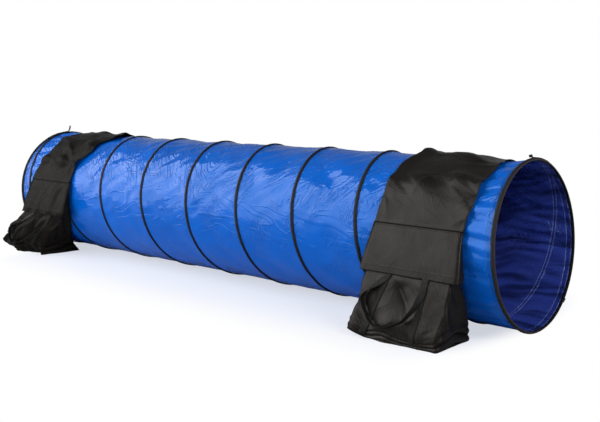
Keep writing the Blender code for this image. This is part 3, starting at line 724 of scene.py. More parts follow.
@dataclass(frozen=True)
class Webbing(Finish):
    """Woven webbing or tape: ribs across, a selvedge and a row of stitches each side.

    edge_tint is the colour of a thin line edge_at from the middle, where there is one.
    """

    half_width: float = 0.0125
    rib: float = 0.0016
    edge_tint: Colour | None = None
    edge_at: float = 0.0
    stitch: float = 0.0038
    thread_half: float = 0.0005

    def build(self, effects: Effects) -> Material:
        """Make the material."""
        material, tree = self.start()
        flat = tree.parts(self.flat_place(tree))
        along, across = flat["X"], flat["Y"]
        off = tree.math("ABSOLUTE", across)
        place = self.object_place(tree)
        slanted = tree.plus(along, tree.times(off, 0.7))
        ribs, rows = (tree.math("MULTIPLY_ADD", tree.math("SINE", tree.times(way, TURN / pitch)), 0.5, 0.5)
                      for way, pitch in ((slanted, self.rib), (across, self.rib * 1.3)))
        weave = tree.times(ribs, tree.math("MULTIPLY_ADD", rows, 0.5, 0.5))
        selvedge = tree.span(off, self.half_width * 0.88, self.half_width * 0.94)
        blot = tree.noise(place, 26.0, 3.0)
        lifted = tuple(min(1.0, 2.0 * c + 0.006) for c in self.second)
        shade = tree.mix(tree.times(weave, 0.5), self.blotched(tree, blot, 0.3, 0.7), lifted)
        if self.edge_tint is not None:
            edge = tree.span(tree.from_middle(across, self.edge_at), 0.0012, 0.0007)
            shade = tree.mix(tree.times(edge, 0.8), shade, self.edge_tint)
        dust = tree.place(effects.dust, Vector=place, Amount=0.22)
        shade = tree.mix(dust["Mask"], shade, (0.06, 0.056, 0.052))
        row = tree.place(effects.stitches, Along=along, Pitch=self.stitch, Half_width=self.thread_half,
                         Off_line=tree.minus(off, self.half_width * 0.72))
        heights = ((weave, 0.00022), (selvedge, 0.0002), (row["Height"], 0.0004))
        self.dress(tree, shade, self.varied(tree, blot, 0.9, 1.1), heights)
        return material


@dataclass(frozen=True)
class Fastener(Finish):
    """Hook or loop tape: a short dense pile."""

    def build(self, effects: Effects) -> Material:
        """Make the material, which takes none of the effects."""
        material, tree = self.start()
        pile = tree.noise(self.object_place(tree), 1500.0, 2.0)
        self.dress(tree, self.blotched(tree, pile, 0.4, 0.65), self.roughness, ((pile, 0.0006),))
        return material


@dataclass(frozen=True)
class Plain(Finish):
    """Bare steel or moulded plastic with faint marks."""

    def build(self, effects: Effects) -> Material:
        """Make the material, which takes none of the effects."""
        material, tree = self.start()
        marks = tree.noise(tree.stretched(self.object_place(tree), (60.0, 60.0, 60.0)), 1.0, 5.0)
        shade = self.blotched(tree, marks, 0.35, 0.7)
        self.dress(tree, shade, self.varied(tree, marks, 0.8, 1.3), ((marks, 0.0001),))
        return material


class Workshop:
    """Finishes meshes into pieces that ride on a body and stand for CAD nodes."""

    def __init__(self) -> None:
        """Start with no pieces."""
        self.made: list[Object] = []

    def piece(self, name: str, bm: BMesh, finishes: Sequence[Material],
              slot: Slot, body: str, nodes: Sequence[str], wall: float = 0.0,
              offset: float = -1.0, sharp: float = 55.0) -> Object:
        """Make an object of a mesh whose points are in the frame.

        Args:
            name: The piece's name.
            bm: Its mesh, which is used up.
            finishes: Its materials; a second one goes on the inner face of its wall.
            slot: The record's material slot; not used.
            body: The body it rides on.
            nodes: The CAD nodes that it replaces.
            wall: Thickness for a sheet, or 0 for a closed mesh.
            offset: Where the wall lies: -1 behind the sheet, 1 in front of it.
            sharp: Angle in degrees over which an edge isn't smoothed.

        Returns:
            The finished object.
        """
        mesh = bpy.data.meshes.new(name)
        bm.to_mesh(mesh)
        bm.free()
        mesh.shade_smooth()
        mesh.set_sharp_from_angle(angle=math.radians(sharp))
        for material in finishes:
            mesh.materials.append(material)
        item = link(name, mesh)
        if wall:
            solidify = item.modifiers.new("wall", "SOLIDIFY")
            solidify.thickness = wall
            solidify.offset = offset
            solidify.use_even_offset = False
            solidify.material_offset = len(finishes) - 1
        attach(item, body)
        if nodes:
            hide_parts(*nodes)
        self.made.append(item)
        log.info("%s: %d faces, on %s", name, len(mesh.polygons), body)
        return item


@dataclass(frozen=True)
class TubeSizes:
    """Sizes of the tube, the same as in the part, and where the frame puts it."""

    length: float = 2.893
    turns: int = 9
    hoop_lean: float = 0.064
    hoop_turn: float = 0.036
    hoop_rise: float = 0.0036
    wire_radius: float = 0.00175
    wire_rise: float = 0.00205
    ease_angle: float = math.radians(20.0)
    sag: float = 0.006
    overhang: float = 0.0065
    tape_half: float = 0.0082
    tape_rise: float = 0.0049
    tape_wall: float = 0.0007
    binding_half: float = 0.0085
    binding_wall: float = 0.0008
    binding_lip: float = 0.011
    lap_angle: float = math.radians(24.0)
    cap_length: float = 0.016
    cap_radius: float = 0.00275
    cap_round: float = 0.002
    cap_gap: float = 0.0015
    skin_wall: float = 0.0008
    seat: float = 0.0003
    radius: float = field(default_factory=lambda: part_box("tunnel_skin")[1].y)
    top: float = field(default_factory=lambda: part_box("tunnel_skin")[1].z)

    @property
    def axis_height(self) -> float:
        """Height of the tube's middle line."""
        return self.top - self.radius

    @property
    def pitch(self) -> float:
        """Length of one turn of the spiral."""
        return self.length / self.turns

    @property
    def near_x(self) -> float:
        """Middle of the near hoop along the tube."""
        reach = math.hypot(self.hoop_lean, self.hoop_turn) * self.radius
        return (self.length - reach) / 2.0

    @property
    def far_x(self) -> float:
        """Plane of the far hoop."""
        return self.near_x - self.length

    @property
    def end_angle(self) -> float:
        """Angle at which the spiral reaches the far hoop."""
        return TURN * self.turns

    def ring(self, x: Array, radius: Array, angle: Array) -> Array:
        """Points round the tube; angle 0 is its top, a quarter turn its back."""
        x, radius, angle = np.broadcast_arrays(x, radius, angle)
        return np.stack([x, radius * np.sin(angle), self.axis_height + radius * np.cos(angle)], axis=-1)

    def axis_beside(self, point: Vector) -> Vector:
        """The point of the tube's middle line beside a point."""
        return Vector((point.x, 0.0, self.axis_height))

    def near_hoop(self, angle: Array) -> Array:
        """Where the leaning near hoop stands along the tube."""
        return self.near_x - self.radius * (self.hoop_lean * np.cos(angle)
                                            + self.hoop_turn * np.sin(angle))

    def far_hoop(self, angle: Array) -> Array:
        """Where the far hoop stands along the tube."""
        return np.full_like(np.asarray(angle, float), self.far_x)

    def spiral(self, angle: Array) -> Array:
        """Where the wire stands; the angle grows from the near hoop to the far one."""
        angle = np.asarray(angle, float)
        share = np.clip(1.0 - angle / TURN, 0.0, 1.0)
        plain = self.near_x - self.pitch * angle / TURN
        x = plain + (self.near_hoop(angle) - self.near_x) * share
        x = np.where(angle <= 0.0, self.near_hoop(angle), x)
        return np.where(angle >= self.end_angle, self.far_x, x)

    def rise(self, angle: Array) -> Array:
        """Height of the wire's middle over the cloth, more in the two hoops."""
        share = np.clip(np.minimum(angle, self.end_angle - angle) / self.ease_angle, 0.0, 1.0)
        return self.hoop_rise + (self.wire_rise - self.hoop_rise) * share

    def from_turn(self, x: Array, angle: Array) -> Array:
        """Distance along the tube to the nearest turn of the spiral."""
        least = np.abs(x - self.near_hoop(angle))
        least = np.minimum(least, np.abs(x - self.far_x))
        for turn in range(self.turns):
            least = np.minimum(least, np.abs(x - self.spiral(angle % TURN + TURN * turn)))
        return least


@dataclass(frozen=True)
class Wrinkles:
    """How deeply, in metres, the tube's cloth is wrinkled.

    drift is how far its folds wander, broad the depth of wide flats, slant and small
    that of slanting folds, pull that of short folds beside the wire and mouth that of
    the folds near a mouth. The cloth stays between lowest and highest, apart from the
    roof, which the near saddlebag presses down by roof.
    """

    drift: float = 0.012
    broad: float = 0.0020
    slant: float = 0.0019
    small: float = 0.0007
    pull: float = 0.0011
    mouth: float = 0.0058
    lowest: float = -0.0075
    highest: float = 0.0042
    roof: float = 0.014


@dataclass
class Tube:
    """The cloth tube with its wire, tape, bindings, caps and tails."""

    sizes: TubeSizes
    shop: Workshop
    effects: Effects
    wrinkles: Wrinkles = Wrinkles()
    columns: int = 216
    span_rows: int = 18
    keep: float = 0.359
    near_tail: float = 0.012
    far_tail: float = 0.036

    def make_finishes(self) -> dict[str, Material]:
        """Make the materials of the tube's pieces."""
        s = self.sizes
        gloss = (0.36, 0.64, 1.0)
        quarter = s.radius * TURN / 4.0
        seams = tuple((quarter * quarters, low, high) for quarters, low, high in (
            (3.03, -0.02, 0.245), (2.99, -1.08, -0.86), (2.86, 1.30, 1.42), (1.10, 1.02, 1.42),
            (0.52, 1.10, 1.42), (1.45, -0.75, -0.44), (3.35, -0.58, -0.35), (1.05, 0.36, 0.68)))
        outline = self.binding_outline(s.binding_half, Mouth.NEAR)
        steps = np.linalg.norm(np.diff(outline, axis=0), axis=1)
        turned_edge = float(steps[:10].sum() - steps.sum() / 2.0)
        made = {
            "cloth": TunnelCloth("blue_coated_nylon", (0.0020, 0.110, 0.540), (0.0016, 0.095, 0.475),
                                 0.12, specular=0.42, tint=gloss, seams=seams),
            # The inner face: a darker, greyer blue, partly its own duller tone and partly painted shade of
            # the tube's inside; it also gets painted shade in its folds.
            "lining": TunnelCloth("blue_nylon_inside", (0.032, 0.058, 0.350), (0.026, 0.048, 0.290),
                                  0.24, specular=0.9, tint=gloss, seams=seams, thread_half=0.0026,
                                  thread_share=1.0, lengthwise=0.034),
            "tape": Webbing("black_seam_tape", (0.003, 0.003, 0.004), (0.005, 0.005, 0.006), 0.6,
                            specular=0.3, half_width=s.tape_half, rib=0.0011),
            "binding": Webbing("black_binding", (0.004, 0.004, 0.004), (0.008, 0.007, 0.006), 0.6,
                               specular=0.3, half_width=0.019, rib=0.0011,
                               edge_tint=(0.075, 0.050, 0.034), edge_at=turned_edge),
            "steel": Plain("spring_steel", (0.42, 0.42, 0.43), (0.30, 0.29, 0.28), 0.32, metallic=1.0),
            "plastic": Plain("black_plastic", (0.020, 0.020, 0.022), (0.028, 0.028, 0.030), 0.45),
        }
        return {word: finish.build(self.effects) for word, finish in made.items()}

    def build(self) -> None:
        """Build every piece of the tube."""
        finishes = self.make_finishes()
        self.build_skin(finishes["cloth"], finishes["lining"])
        self.build_tape(finishes["tape"])
        self.build_wire(finishes["steel"])
        for mouth in Mouth:
            self.build_mouth(mouth, finishes["binding"])
            self.build_tail(mouth, finishes["binding"])
            self.build_cap(mouth, finishes["plastic"])

    def collapse(self, item: Object) -> None:
        """Give a piece that runs the length of the tube its own copy of its mesh."""
        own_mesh(item)

    def cloth_height(self, x: Array, angle: Array, place: Array, width: Array) -> Array:
        """How far the cloth stands off the cylinder between two turns.

        Args:
            x: Places along the tube.
            angle: Places round it.
            place: Share of the way from one turn to the next.
            width: Distance between those turns.

        Returns:
            Heights, negative where the cloth is drawn in.
        """
        s, w = self.sizes, self.wrinkles
        girth = s.radius * TURN
        arc = s.radius * angle
        slack = np.clip(width / s.pitch, 0.0, 1.0)
        middle = 4.0 * place * (1.0 - place)
        rooted = np.minimum(place, 1.0 - place)
        held = ease(rooted / 0.16)
        sag = -s.sag * middle * slack ** 2 * (1.0 - 0.85 * bump(angle, math.pi, 0.95))
        upper = 0.5 + 0.5 * np.cos(angle - math.radians(300.0))
        arc = arc + w.drift * Waves(16, (0.25, 0.50), 30.0, 60.0, 6, girth).at(x, arc)
        broad = Waves(11, (0.16, 0.34), 80.0, 50.0, 5, girth).facets(x, arc)
        rising = Waves(12, (0.06, 0.15), 131.0, 11.0, 5, girth).facets(x, arc)
        falling = Waves(13, (0.06, 0.16), 76.0, 9.0, 5, girth).facets(x, arc)
        small = Waves(19, (0.040, 0.08), 128.0, 16.0, 6, girth).facets(x, arc)
        pull = Waves(14, (0.035, 0.08), 90.0, 9.0, 12, girth).at(x, arc)
        patch = ease(0.5 + 0.5 * Waves(15, (0.2, 0.5), 45.0, 90.0, 8, girth).at(x, arc))
        tension = Waves(18, (0.04, 0.10), 90.0, 9.0, 8, girth).facets(x, arc)
        slanted = rising * upper + falling * (1.0 - upper)
        near_mouth = np.clip(bump(x, s.near_x - 0.10, 0.16) + bump(x, s.far_x + 0.12, 0.14), 0.0, 1.0)
        held_height = (w.slant * slanted * (0.40 + 0.60 * patch) + w.small * small * (0.35 + 0.65 * patch)
                       + w.pull * pull * np.exp(-rooted * 7.0) + w.mouth * tension * near_mouth)
        height = np.clip(w.broad * broad * middle + held_height * held, w.lowest, w.highest)
        belly = 1.0 - 0.75 * bump(angle, math.pi, 0.75)
        return sag + height * belly * slack - self.pressed(x, angle, place)

    def pressed(self, x: Array, angle: Array, place: Array) -> Array:
        """How far the near saddlebag's weight draws down the roof between hoop and first turn."""
        s = self.sizes
        roof = bump(np.minimum(angle, TURN - angle), 0.0, 0.55)
        front = angle > math.pi
        start = np.where(front, s.near_hoop(angle), s.spiral(angle))
        end = np.where(front, s.spiral(angle), s.spiral(angle + TURN))
        first_span = (x > end) & (x < start)
        return self.wrinkles.roof * roof * 4.0 * place * (1.0 - place) * first_span

    def build_skin(self, cloth: Material, lining: Material) -> None:
        """The cloth tube, drawn in and wrinkled between the turns of the spiral."""
        s = self.sizes
        turn = np.linspace(0.0, TURN, self.columns + 1)
        angle = turn + 0.30 * (np.sin(turn + math.radians(60.0)) - math.sin(math.radians(60.0)))
        crossings = [s.near_hoop(angle), *(s.spiral(angle + TURN * turn) for turn in range(s.turns)),
                     s.far_hoop(angle)]
        rows = []
        for number, (start, end) in enumerate(zip(crossings, crossings[1:])):
            last = number == s.turns
            for row in range(self.span_rows + last):
                share = row / self.span_rows
                rows.append((start + (end - start) * share, share, start - end, number - (share < 0.5)))
        for share in (0.5, 1.0):
            rows.insert(0, (crossings[0] + s.overhang * share, 0.0, 0.0, 0.0))
            rows.append((crossings[-1] - s.overhang * share, 0.0, 0.0, 0.0))
        x, place, width, number = (np.stack([np.broadcast_to(row[part], angle.shape) for row in rows])
                                   for part in range(4))
        around = np.broadcast_to(angle, x.shape)
        points = s.ring(x, s.radius + self.cloth_height(x, around, place, width), around)
        spiral_place = paired((around + TURN * number) * s.radius, np.minimum(place, 1.0 - place) * width)
        from_mouth = np.minimum(crossings[0] - x, x - s.far_x)
        surface = Surface(points, spiral_place, paired(from_mouth, around * s.radius))
        bm = surface.to_bmesh(s.axis_beside)
        item = self.shop.piece("tunnel_cloth", bm, (cloth, lining), Slot.TUNNEL_CLOTH, "near_end",
                               ["tunnel_skin"], wall=s.skin_wall, sharp=70.0)
        self.collapse(item)

    def run(self, start: float, end: float, per_turn: int) -> tuple[Array, Array, Array, Array]:
        """The wire's line between two angles.

        Args:
            start: First angle along the wire.
            end: Last angle along it.
            per_turn: Points in one turn.

        Returns:
            The angles, places along the tube, slopes along the tube for each metre
            of arc, and lengths along the wire.
        """
        s = self.sizes
        count = max(3, int((end - start) / TURN * per_turn))
        angle = np.linspace(start, end, count + 1)
        x = s.spiral(angle)
        slope = np.gradient(x, angle) / s.radius
        steps = np.hypot(np.diff(x), np.diff(angle) * s.radius)
        return angle, x, slope, summed(steps)

    def swept(self, run: tuple[Array, ...], rise: Array | float, outline: Array) -> Surface:
        """Carry an outline along a run of the wire's line, at a height over the cloth."""
        angle, x, slope, along = run
        up = off_tube(angle)
        across = np.cross(up, unit(np.stack([slope, np.cos(angle), -np.sin(angle)], axis=-1)))
        path = self.sizes.ring(x, self.sizes.radius + rise, angle)
        return sweep(path, across, up, outline, along)

    def build_tape(self, material: Material) -> None:
        """The tape over the spiral, tented over the wire and slightly puckered."""
        s = self.sizes
        margin = s.binding_half + s.tape_half + s.seat
        start = max(s.lap_angle + 0.006, TURN * margin / (s.pitch - s.hoop_lean * s.radius))
        run = self.run(start, s.end_angle - start, 200)
        angle, along = run[0], run[3]
        flank = [(1.0, 0.0011), (0.80, 0.0012), (0.55, 0.0021), (0.33, s.tape_rise * 0.82)]
        shape = [(-share, rise) for share, rise in flank] + [(0.0, s.tape_rise)] + flank[::-1]
        outline = np.repeat(np.array([(share * s.tape_half, rise) for share, rise in shape])[None],
                            len(angle), axis=0)
        pucker = Waves(31, (0.012, 0.03), 0.0, 10.0, 10).along(along)[:, None]
        drift = Waves(32, (0.05, 0.15), 0.0, 10.0, 6).along(along)[:, None]
        outline[..., 0] = outline[..., 0] * (1.0 + 0.035 * pucker) + 0.0003 * drift
        outline[:, 1:-1, 1] += 0.00012 * pucker * np.array([1, 2, 1, 0, 1, 2, 1])[None]
        bm = self.swept(run, 0.0, outline).to_bmesh(s.axis_beside)
        item = self.shop.piece("seam_tape", bm, (material,), Slot.EDGE_TAPE, "near_end",
                               ["spiral_tape"], wall=s.tape_wall)
        self.collapse(item)

    def round_outline(self, radius: float, sides: int) -> Array:
        """A closed round outline."""
        turn = np.linspace(0.0, TURN, sides + 1)
        return paired(radius * np.cos(turn), radius * np.sin(turn))

    def wire_ends(self) -> tuple[float, float]:
        """Angles at which the wire starts and ends."""
        s = self.sizes
        lap = TURN * (s.wire_radius + s.cap_radius + s.cap_gap) / s.pitch
        return -TURN + lap, s.end_angle + TURN - lap

    def build_wire(self, material: Material) -> None:
        """The spring wire: near hoop, nine turns and far hoop in one length."""
        s = self.sizes
        run = self.run(*self.wire_ends(), 72)
        bm = self.swept(run, s.rise(run[0]), self.round_outline(s.wire_radius, 8)).to_bmesh()
        close_ends(bm)
        item = self.shop.piece("wire", bm, (material,), Slot.STEEL, "near_end", ["spring_wire"])
        self.collapse(item)

    def build_cap(self, mouth: Mouth, material: Material) -> None:
        """The plastic cap on one end of the wire, with a rounded tip."""
        s = self.sizes
        first, last = self.wire_ends()
        reach, past = s.cap_length / s.radius, 0.004
        near = mouth is Mouth.NEAR
        run = self.run(*((first - past, first + reach) if near else (last - reach, last + past)), 900)
        from_tip = run[3] if near else run[3][-1] - run[3]
        short = 1.0 - np.clip(from_tip / s.cap_round, 0.0, 1.0)
        grown = s.cap_radius * np.sqrt(np.clip(1.0 - short ** 2, 0.04, 1.0))
        outline = self.round_outline(1.0, 20)[None] * grown[:, None, None]
        bm = self.swept(run, s.hoop_rise, outline).to_bmesh()
        close_ends(bm)
        self.shop.piece(mouth.word + "_cap", bm, (material,), Slot.PLASTIC, mouth.body,
                        [mouth.word + "_wire_cap"])

    def binding_outline(self, reach: float, mouth: Mouth) -> Array:
        """Outline of a binding from its inner flange over the hoop to the lip inside."""
        s = self.sizes
        over = s.cap_radius + s.seat + s.binding_wall
        edge = s.overhang + s.seat + s.binding_wall
        under = -(s.skin_wall + s.seat + s.binding_wall)
        low = s.seat + s.binding_wall
        points = [(-reach, low), (-reach * 0.86, low + 0.0001), (-reach + 0.0030, low + 0.0006)]
        for degrees in range(150, 0, -25):
            turn = math.radians(degrees)
            slip = (s.binding_half - reach) if degrees > 90 else 0.0
            points.append((over * math.cos(turn) + slip, s.hoop_rise + over * math.sin(turn)))
        points += [(edge * 0.90, 0.0024), (edge, 0.0008), (edge, under * 0.5), (edge * 0.92, under),
                   (edge * 0.5, under), (edge - s.binding_lip, under)]
        return np.array([(mouth.value * along, up) for along, up in points])

    def build_mouth(self, mouth: Mouth, material: Material) -> None:
        """One mouth's binding and the lap that closes it."""
        s = self.sizes
        near = mouth is Mouth.NEAR
        hoop = s.near_hoop if near else s.far_hoop
        low, high = (0.0, s.lap_angle) if near else (-s.lap_angle, 0.0)
        for piece, start, end, node in (
                ("binding", high + 0.001, low + TURN - 0.001, "_mouth_binding"),
                ("binding_end", low, high, "_binding_lap")):
            count = max(12, int(300 * (end - start) / TURN))
            angle = np.linspace(start, end, count + 1)
            up = off_tube(angle)
            across = np.broadcast_to(np.array([1.0, 0.0, 0.0]), up.shape)
            if piece == "binding":
                outline = np.repeat(self.binding_outline(s.binding_half, mouth)[None], count + 1, axis=0)
            else:
                leave = s.spiral(angle) if near else s.spiral(s.end_angle + angle)
                reaches = s.binding_half + np.abs(hoop(angle) - leave)
                outline = np.stack([self.binding_outline(reach, mouth) for reach in reaches])
                outline[:, :10, 1] += s.binding_wall + 0.0001
            arc = angle * s.radius
            pucker = Waves(41, (0.014, 0.035), 0.0, 8.0, 10).along(arc)[:, None]
            waver = Waves(42, (0.06, 0.16), 0.0, 8.0, 6).along(arc)[:, None]
            outline[:, :3, 0] += 0.0004 * pucker + 0.0005 * waver
            outline[:, 3:9, 1] += 0.00018 * pucker
            outline[:, -3:, 0] += 0.0005 * pucker + 0.0004 * waver
            bm = sweep(s.ring(hoop(angle), s.radius, angle), across, up, outline, arc).to_bmesh()
            self.face_off(bm, hoop)
            self.shop.piece(mouth.word + "_" + piece, bm, (material,), Slot.EDGE_TAPE, mouth.body,
                            [mouth.word + node], wall=s.binding_wall)

    def face_off(self, bm: BMesh, hoop: Callable[[Array], Array]) -> None:
        """Turn a binding's faces away from the hoop's wire."""
        s = self.sizes

        def core(middle: Vector) -> Vector:
            """The point of the wire that is nearest to a face's middle."""
            angle = np.array(math.atan2(middle.y, middle.z - s.axis_height))
            return Vector(s.ring(hoop(angle), np.array(s.radius + 0.002), angle))

        turn_away(bm, core)

    def build_tail(self, mouth: Mouth, material: Material) -> None:
        """The loose end of a binding, sewn down and curling up past its stitches."""
        s = self.sizes
        low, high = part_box(mouth.word + "_tape_tail")
        height = self.near_tail if mouth is Mouth.NEAR else self.far_tail
        half = (high.x - low.x) / 2.0
        radius = s.radius + s.hoop_rise + s.cap_radius + s.binding_wall + 0.0016
        foot = np.linspace(0.014, 0.0, 5)[:-1] / radius * mouth.value
        bend = np.linspace(0.0, math.radians(80.0), 13)
        y = np.concatenate([radius * np.sin(foot), -mouth.value * height * 0.45 * np.sin(bend)])
        z = s.axis_height + np.concatenate([radius * np.cos(foot), radius + height * (1.0 - np.cos(bend))])
        path = np.stack([np.full_like(y, (high.x + low.x) / 2.0), y, z], axis=-1)
        tangent = unit(np.gradient(path, axis=0))
        along = summed(np.linalg.norm(np.diff(path, axis=0), axis=1))
        twist = 0.35 * along / along[-1]
        across = unit(np.stack([np.cos(twist), 0.0 * twist, np.sin(twist) * 0.5], axis=-1))
        cup = np.array([(half * share, 0.0004 * abs(share) ** 2) for share in (-1.0, -0.5, 0.0, 0.5, 1.0)])
        bm = sweep(path, across, np.cross(tangent, across), cup, along).to_bmesh()
        self.shop.piece(mouth.word + "_tail", bm, (material,), Slot.EDGE_TAPE, mouth.body,
                        [mouth.word + "_tape_tail"], wall=0.0010, offset=0.0)


@dataclass(frozen=True)
class BagSizes:
    """Sizes of a saddlebag, the same as in the part."""

    seam_width: float = 0.384
    crown_flare: float = 0.020
    hem_flare: float = 0.028
    base_flare: float = 0.012
    seam_angle: float = math.radians(75.0)
    seam_band: float = 0.0034
    seam_height: float = 0.008
    cloth: float = 0.0012
    gap: float = 0.0003
    floor_gap: float = 0.0004
    flap_drop: float = 0.164
    flap_return: float = 0.030
    flap_top_return: float = 0.002
    hem_band: float = 0.023
    hem_edge: float = 0.0012
    hem_wall: float = 0.0008
    rim_drop: float = 0.055
    rim_out: float = 0.026
    lean: float = 0.365
    side_clearance: float = 0.004
    base_back: float = 0.235
    leave_angle: float = math.radians(120.0)
    slump_height: float = 0.060
    corner: float = 0.016
    web_half: float = 0.0125
    web_wall: float = 0.0014
    strap_top_spread: float = 0.133
    strap_top_shift: float = 0.011
    strap_foot_spread: float = 0.212
    strap_foot_shift: float = -0.016
    strap_foot: float = 0.010
    strap_top_drop: float = 0.064
    hem_gap: float = 0.010
    handle_drop: float = 0.175
    handle_twist: float = 0.26
    handle_route: tuple[tuple[float, float], ...] = (
        (0.00, 0.00), (-0.15, 0.15), (-0.32, 0.30), (-0.44, 0.46), (-0.43, 0.62),
        (-0.30, 0.78), (-0.08, 0.93), (0.18, 1.00), (0.45, 0.97), (0.70, 0.86),
        (0.89, 0.67), (0.98, 0.45), (1.01, 0.22), (1.00, 0.00))

    @property
    def slope(self) -> float:
        """Length down the leaning front for each metre of height."""
        return math.hypot(1.0, self.lean)


@dataclass(frozen=True)
class Folds:
    """How deeply, in metres, a saddlebag's cloth is folded before its slack counts.

    The pocket's front has a belly, one valley under the handle, soft waves, folds that
    are dragged one way, folds that cross them and creases. slump and drop are the
    pleats over its base, gusset and gusset_in the waves and the hollow of its sides,
    flap_wide and flap_long the flap's waves, yoke_soft and yoke_drag the yoke's, and
    bridge how much lower the yoke lies between two turns of the wire.
    """

    belly: float = 0.012
    valley: float = 0.012
    soft: float = 0.0042
    dragged: float = 0.0028
    crossing: float = 0.0026
    crease: float = 0.0030
    slump: float = 0.0100
    drop: float = 0.0040
    gusset: float = 0.0042
    gusset_in: float = 0.006
    flap_wide: float = 0.0014
    flap_long: float = 0.0007
    flap_in: float = 0.0012
    flap_flare: float = 0.004
    yoke_soft: float = 0.0060
    yoke_drag: float = 0.0048
    bridge: float = 0.0026
    ridge_half: float = 0.011


@dataclass(frozen=True)
class Lift:
    """How a yoke's edge stands off the tube: most at an angle, from one share across to another.

    waves is how many times in TURN radians it comes and goes, 0 where it doesn't.
    """

    height: float
    inner: float
    outer: float
    angle: float
    waves: float

    def at(self, across: Array, turn: Array) -> Array:
        """The height at shares across the yoke and angles round the tube."""
        wave = 0.5 + 0.5 * np.cos(turn * self.waves)
        return self.height * between(across, self.inner, self.outer) * bump(turn, self.angle, 0.40) * wave


@dataclass(frozen=True)
class Hang:
    """How one saddlebag happens to lie: what sets it apart from the other one.

    At the angles in turns, from the front seam over the tube to the rear one, left and
    right are the places of the yoke's edges off its middle. At the heights in levels,
    drag and squeeze are the front pouch's shift along the tube and its share of the
    plain width, and tuck and back_tuck how far its front and its back lie in towards
    the tube. crumple is how sharply it is creased, gloss the strength of its cloth's
    reflections, corner_rise how far the left corner of its base stands off the floor,
    and twist how much farther out its left side lies than its right one. calm is how
    much less loose the yoke is on its crown, sunk how far it sinks with the tube's
    roof, and lift where its edge stands up. Each of the ridges is a sharp fold of the
    yoke: place and angle of its two ends, and its height.
    """

    seed: int
    slack: float
    crumple: float
    gloss: float
    corner_rise: float
    twist: float
    calm: float
    sunk: float
    lift: Lift
    turns: Places
    left: Places
    right: Places
    levels: Places
    drag: Places
    squeeze: Places
    tuck: Places
    back_tuck: Places
    ridges: tuple[tuple[float, float, float, float, float], ...]

    def tucked(self, z: Array, depth: Array) -> Array:
        """How far a place lies in towards the tube; depth is 0 at the back and 1 in front."""
        back = np.interp(z, self.levels, self.back_tuck)
        return back + (np.interp(z, self.levels, self.tuck) - back) * depth

    def ridged(self, x: Array, arc: Array, radius: float, half: float) -> Array:
        """How high the sharp folds stand over the yoke.

        Args:
            x: Places across the yoke.
            arc: Places round the tube.
            radius: The yoke's radius.
            half: Distance over which a ridge falls away.

        Returns:
            Heights, 0 away from every ridge.
        """
        height = 0.0 * x
        for x0, turn0, x1, turn1, rise in self.ridges:
            start = np.array([x0, math.radians(turn0) * radius])
            run = np.array([x1, math.radians(turn1) * radius]) - start
            length = float(np.hypot(*run))
            across, round_it = x - start[0], arc - start[1]
            along = (across * run[0] + round_it * run[1]) / length
            off = np.abs(across * run[1] - round_it * run[0]) / length
            ends = between(along, -0.01, 0.3 * length) * between(along, length + 0.01, 0.7 * length)
            height = np.maximum(height, rise * ends * np.exp(-off / half))
        return height

    def edge(self, turn: Array, places: Sequence[float]) -> Array:
        """Place of the yoke's left or right edge at angles round the tube."""
        return np.interp(np.degrees(turn), self.turns, places)

    def shift(self, x: Array, z: Array, depth: Array) -> Array:
        """Where a place across the front pouch ends up, at a height and a depth from 0 to 1."""
        dragged = np.interp(z, self.levels, self.drag) * (0.75 + 0.25 * depth)
        return x * np.interp(z, self.levels, self.squeeze) + dragged


@dataclass(frozen=True)
class Plan:
    """A pocket's outline in plan, from the middle of the back round to it again.

    For each point across and out are its shares of the way from the pocket's middle,
    corner is 1 in a corner's round and 0 on a straight, and normal_x and normal_out
    are the unit normal across and out.
    """

    across: Array
    out: Array
    corner: Array
    normal_x: Array
    normal_out: Array

    @classmethod
    def drawn(cls, back: int, side: int, front: int, steps: int = 6) -> "Plan":
        """Draw the outline.

        Args:
            back: Runs between points along the back.
            side: Runs along a side.
            front: Runs along the front.
            steps: Runs round a corner.

        Returns:
            The outline, with its first point repeated at its end.
        """
        points = []
        corners = (((1.0, -1.0), -90.0), ((1.0, 1.0), 0.0), ((-1.0, 1.0), 90.0), ((-1.0, -1.0), 180.0))
        for index, ((across, out), start) in enumerate(corners):
            before = corners[index - 1][0]
            count = (back, side, front, side)[index]
            facing = math.radians(start)
            normal = (round(math.cos(facing)), round(math.sin(facing)))
            for step in range(1, count):
                share = step / count
                points.append((before[0] + (across - before[0]) * share,
                               before[1] + (out - before[1]) * share, 0.0, *normal))
            for step in range(steps + 1):
                turn = math.radians(start + 90.0 * step / steps)
                points.append((across, out, 1.0, math.cos(turn), math.sin(turn)))
        middle = back // 2
        return cls(*np.array(points[middle:] + points[:middle + 1], float).T)

    def placed(self, share: Array, normal: Array, reach: Array, radius: Array) -> Array:
        """How far points lie from the middle, one way, from half the size and the corners' radius."""
        rounded = share * (reach - radius) + normal * radius * self.corner
        straight = share * (reach - np.where(np.abs(normal) > 0.5, 0.0, radius))
        return np.where(self.corner > 0.0, rounded, straight)


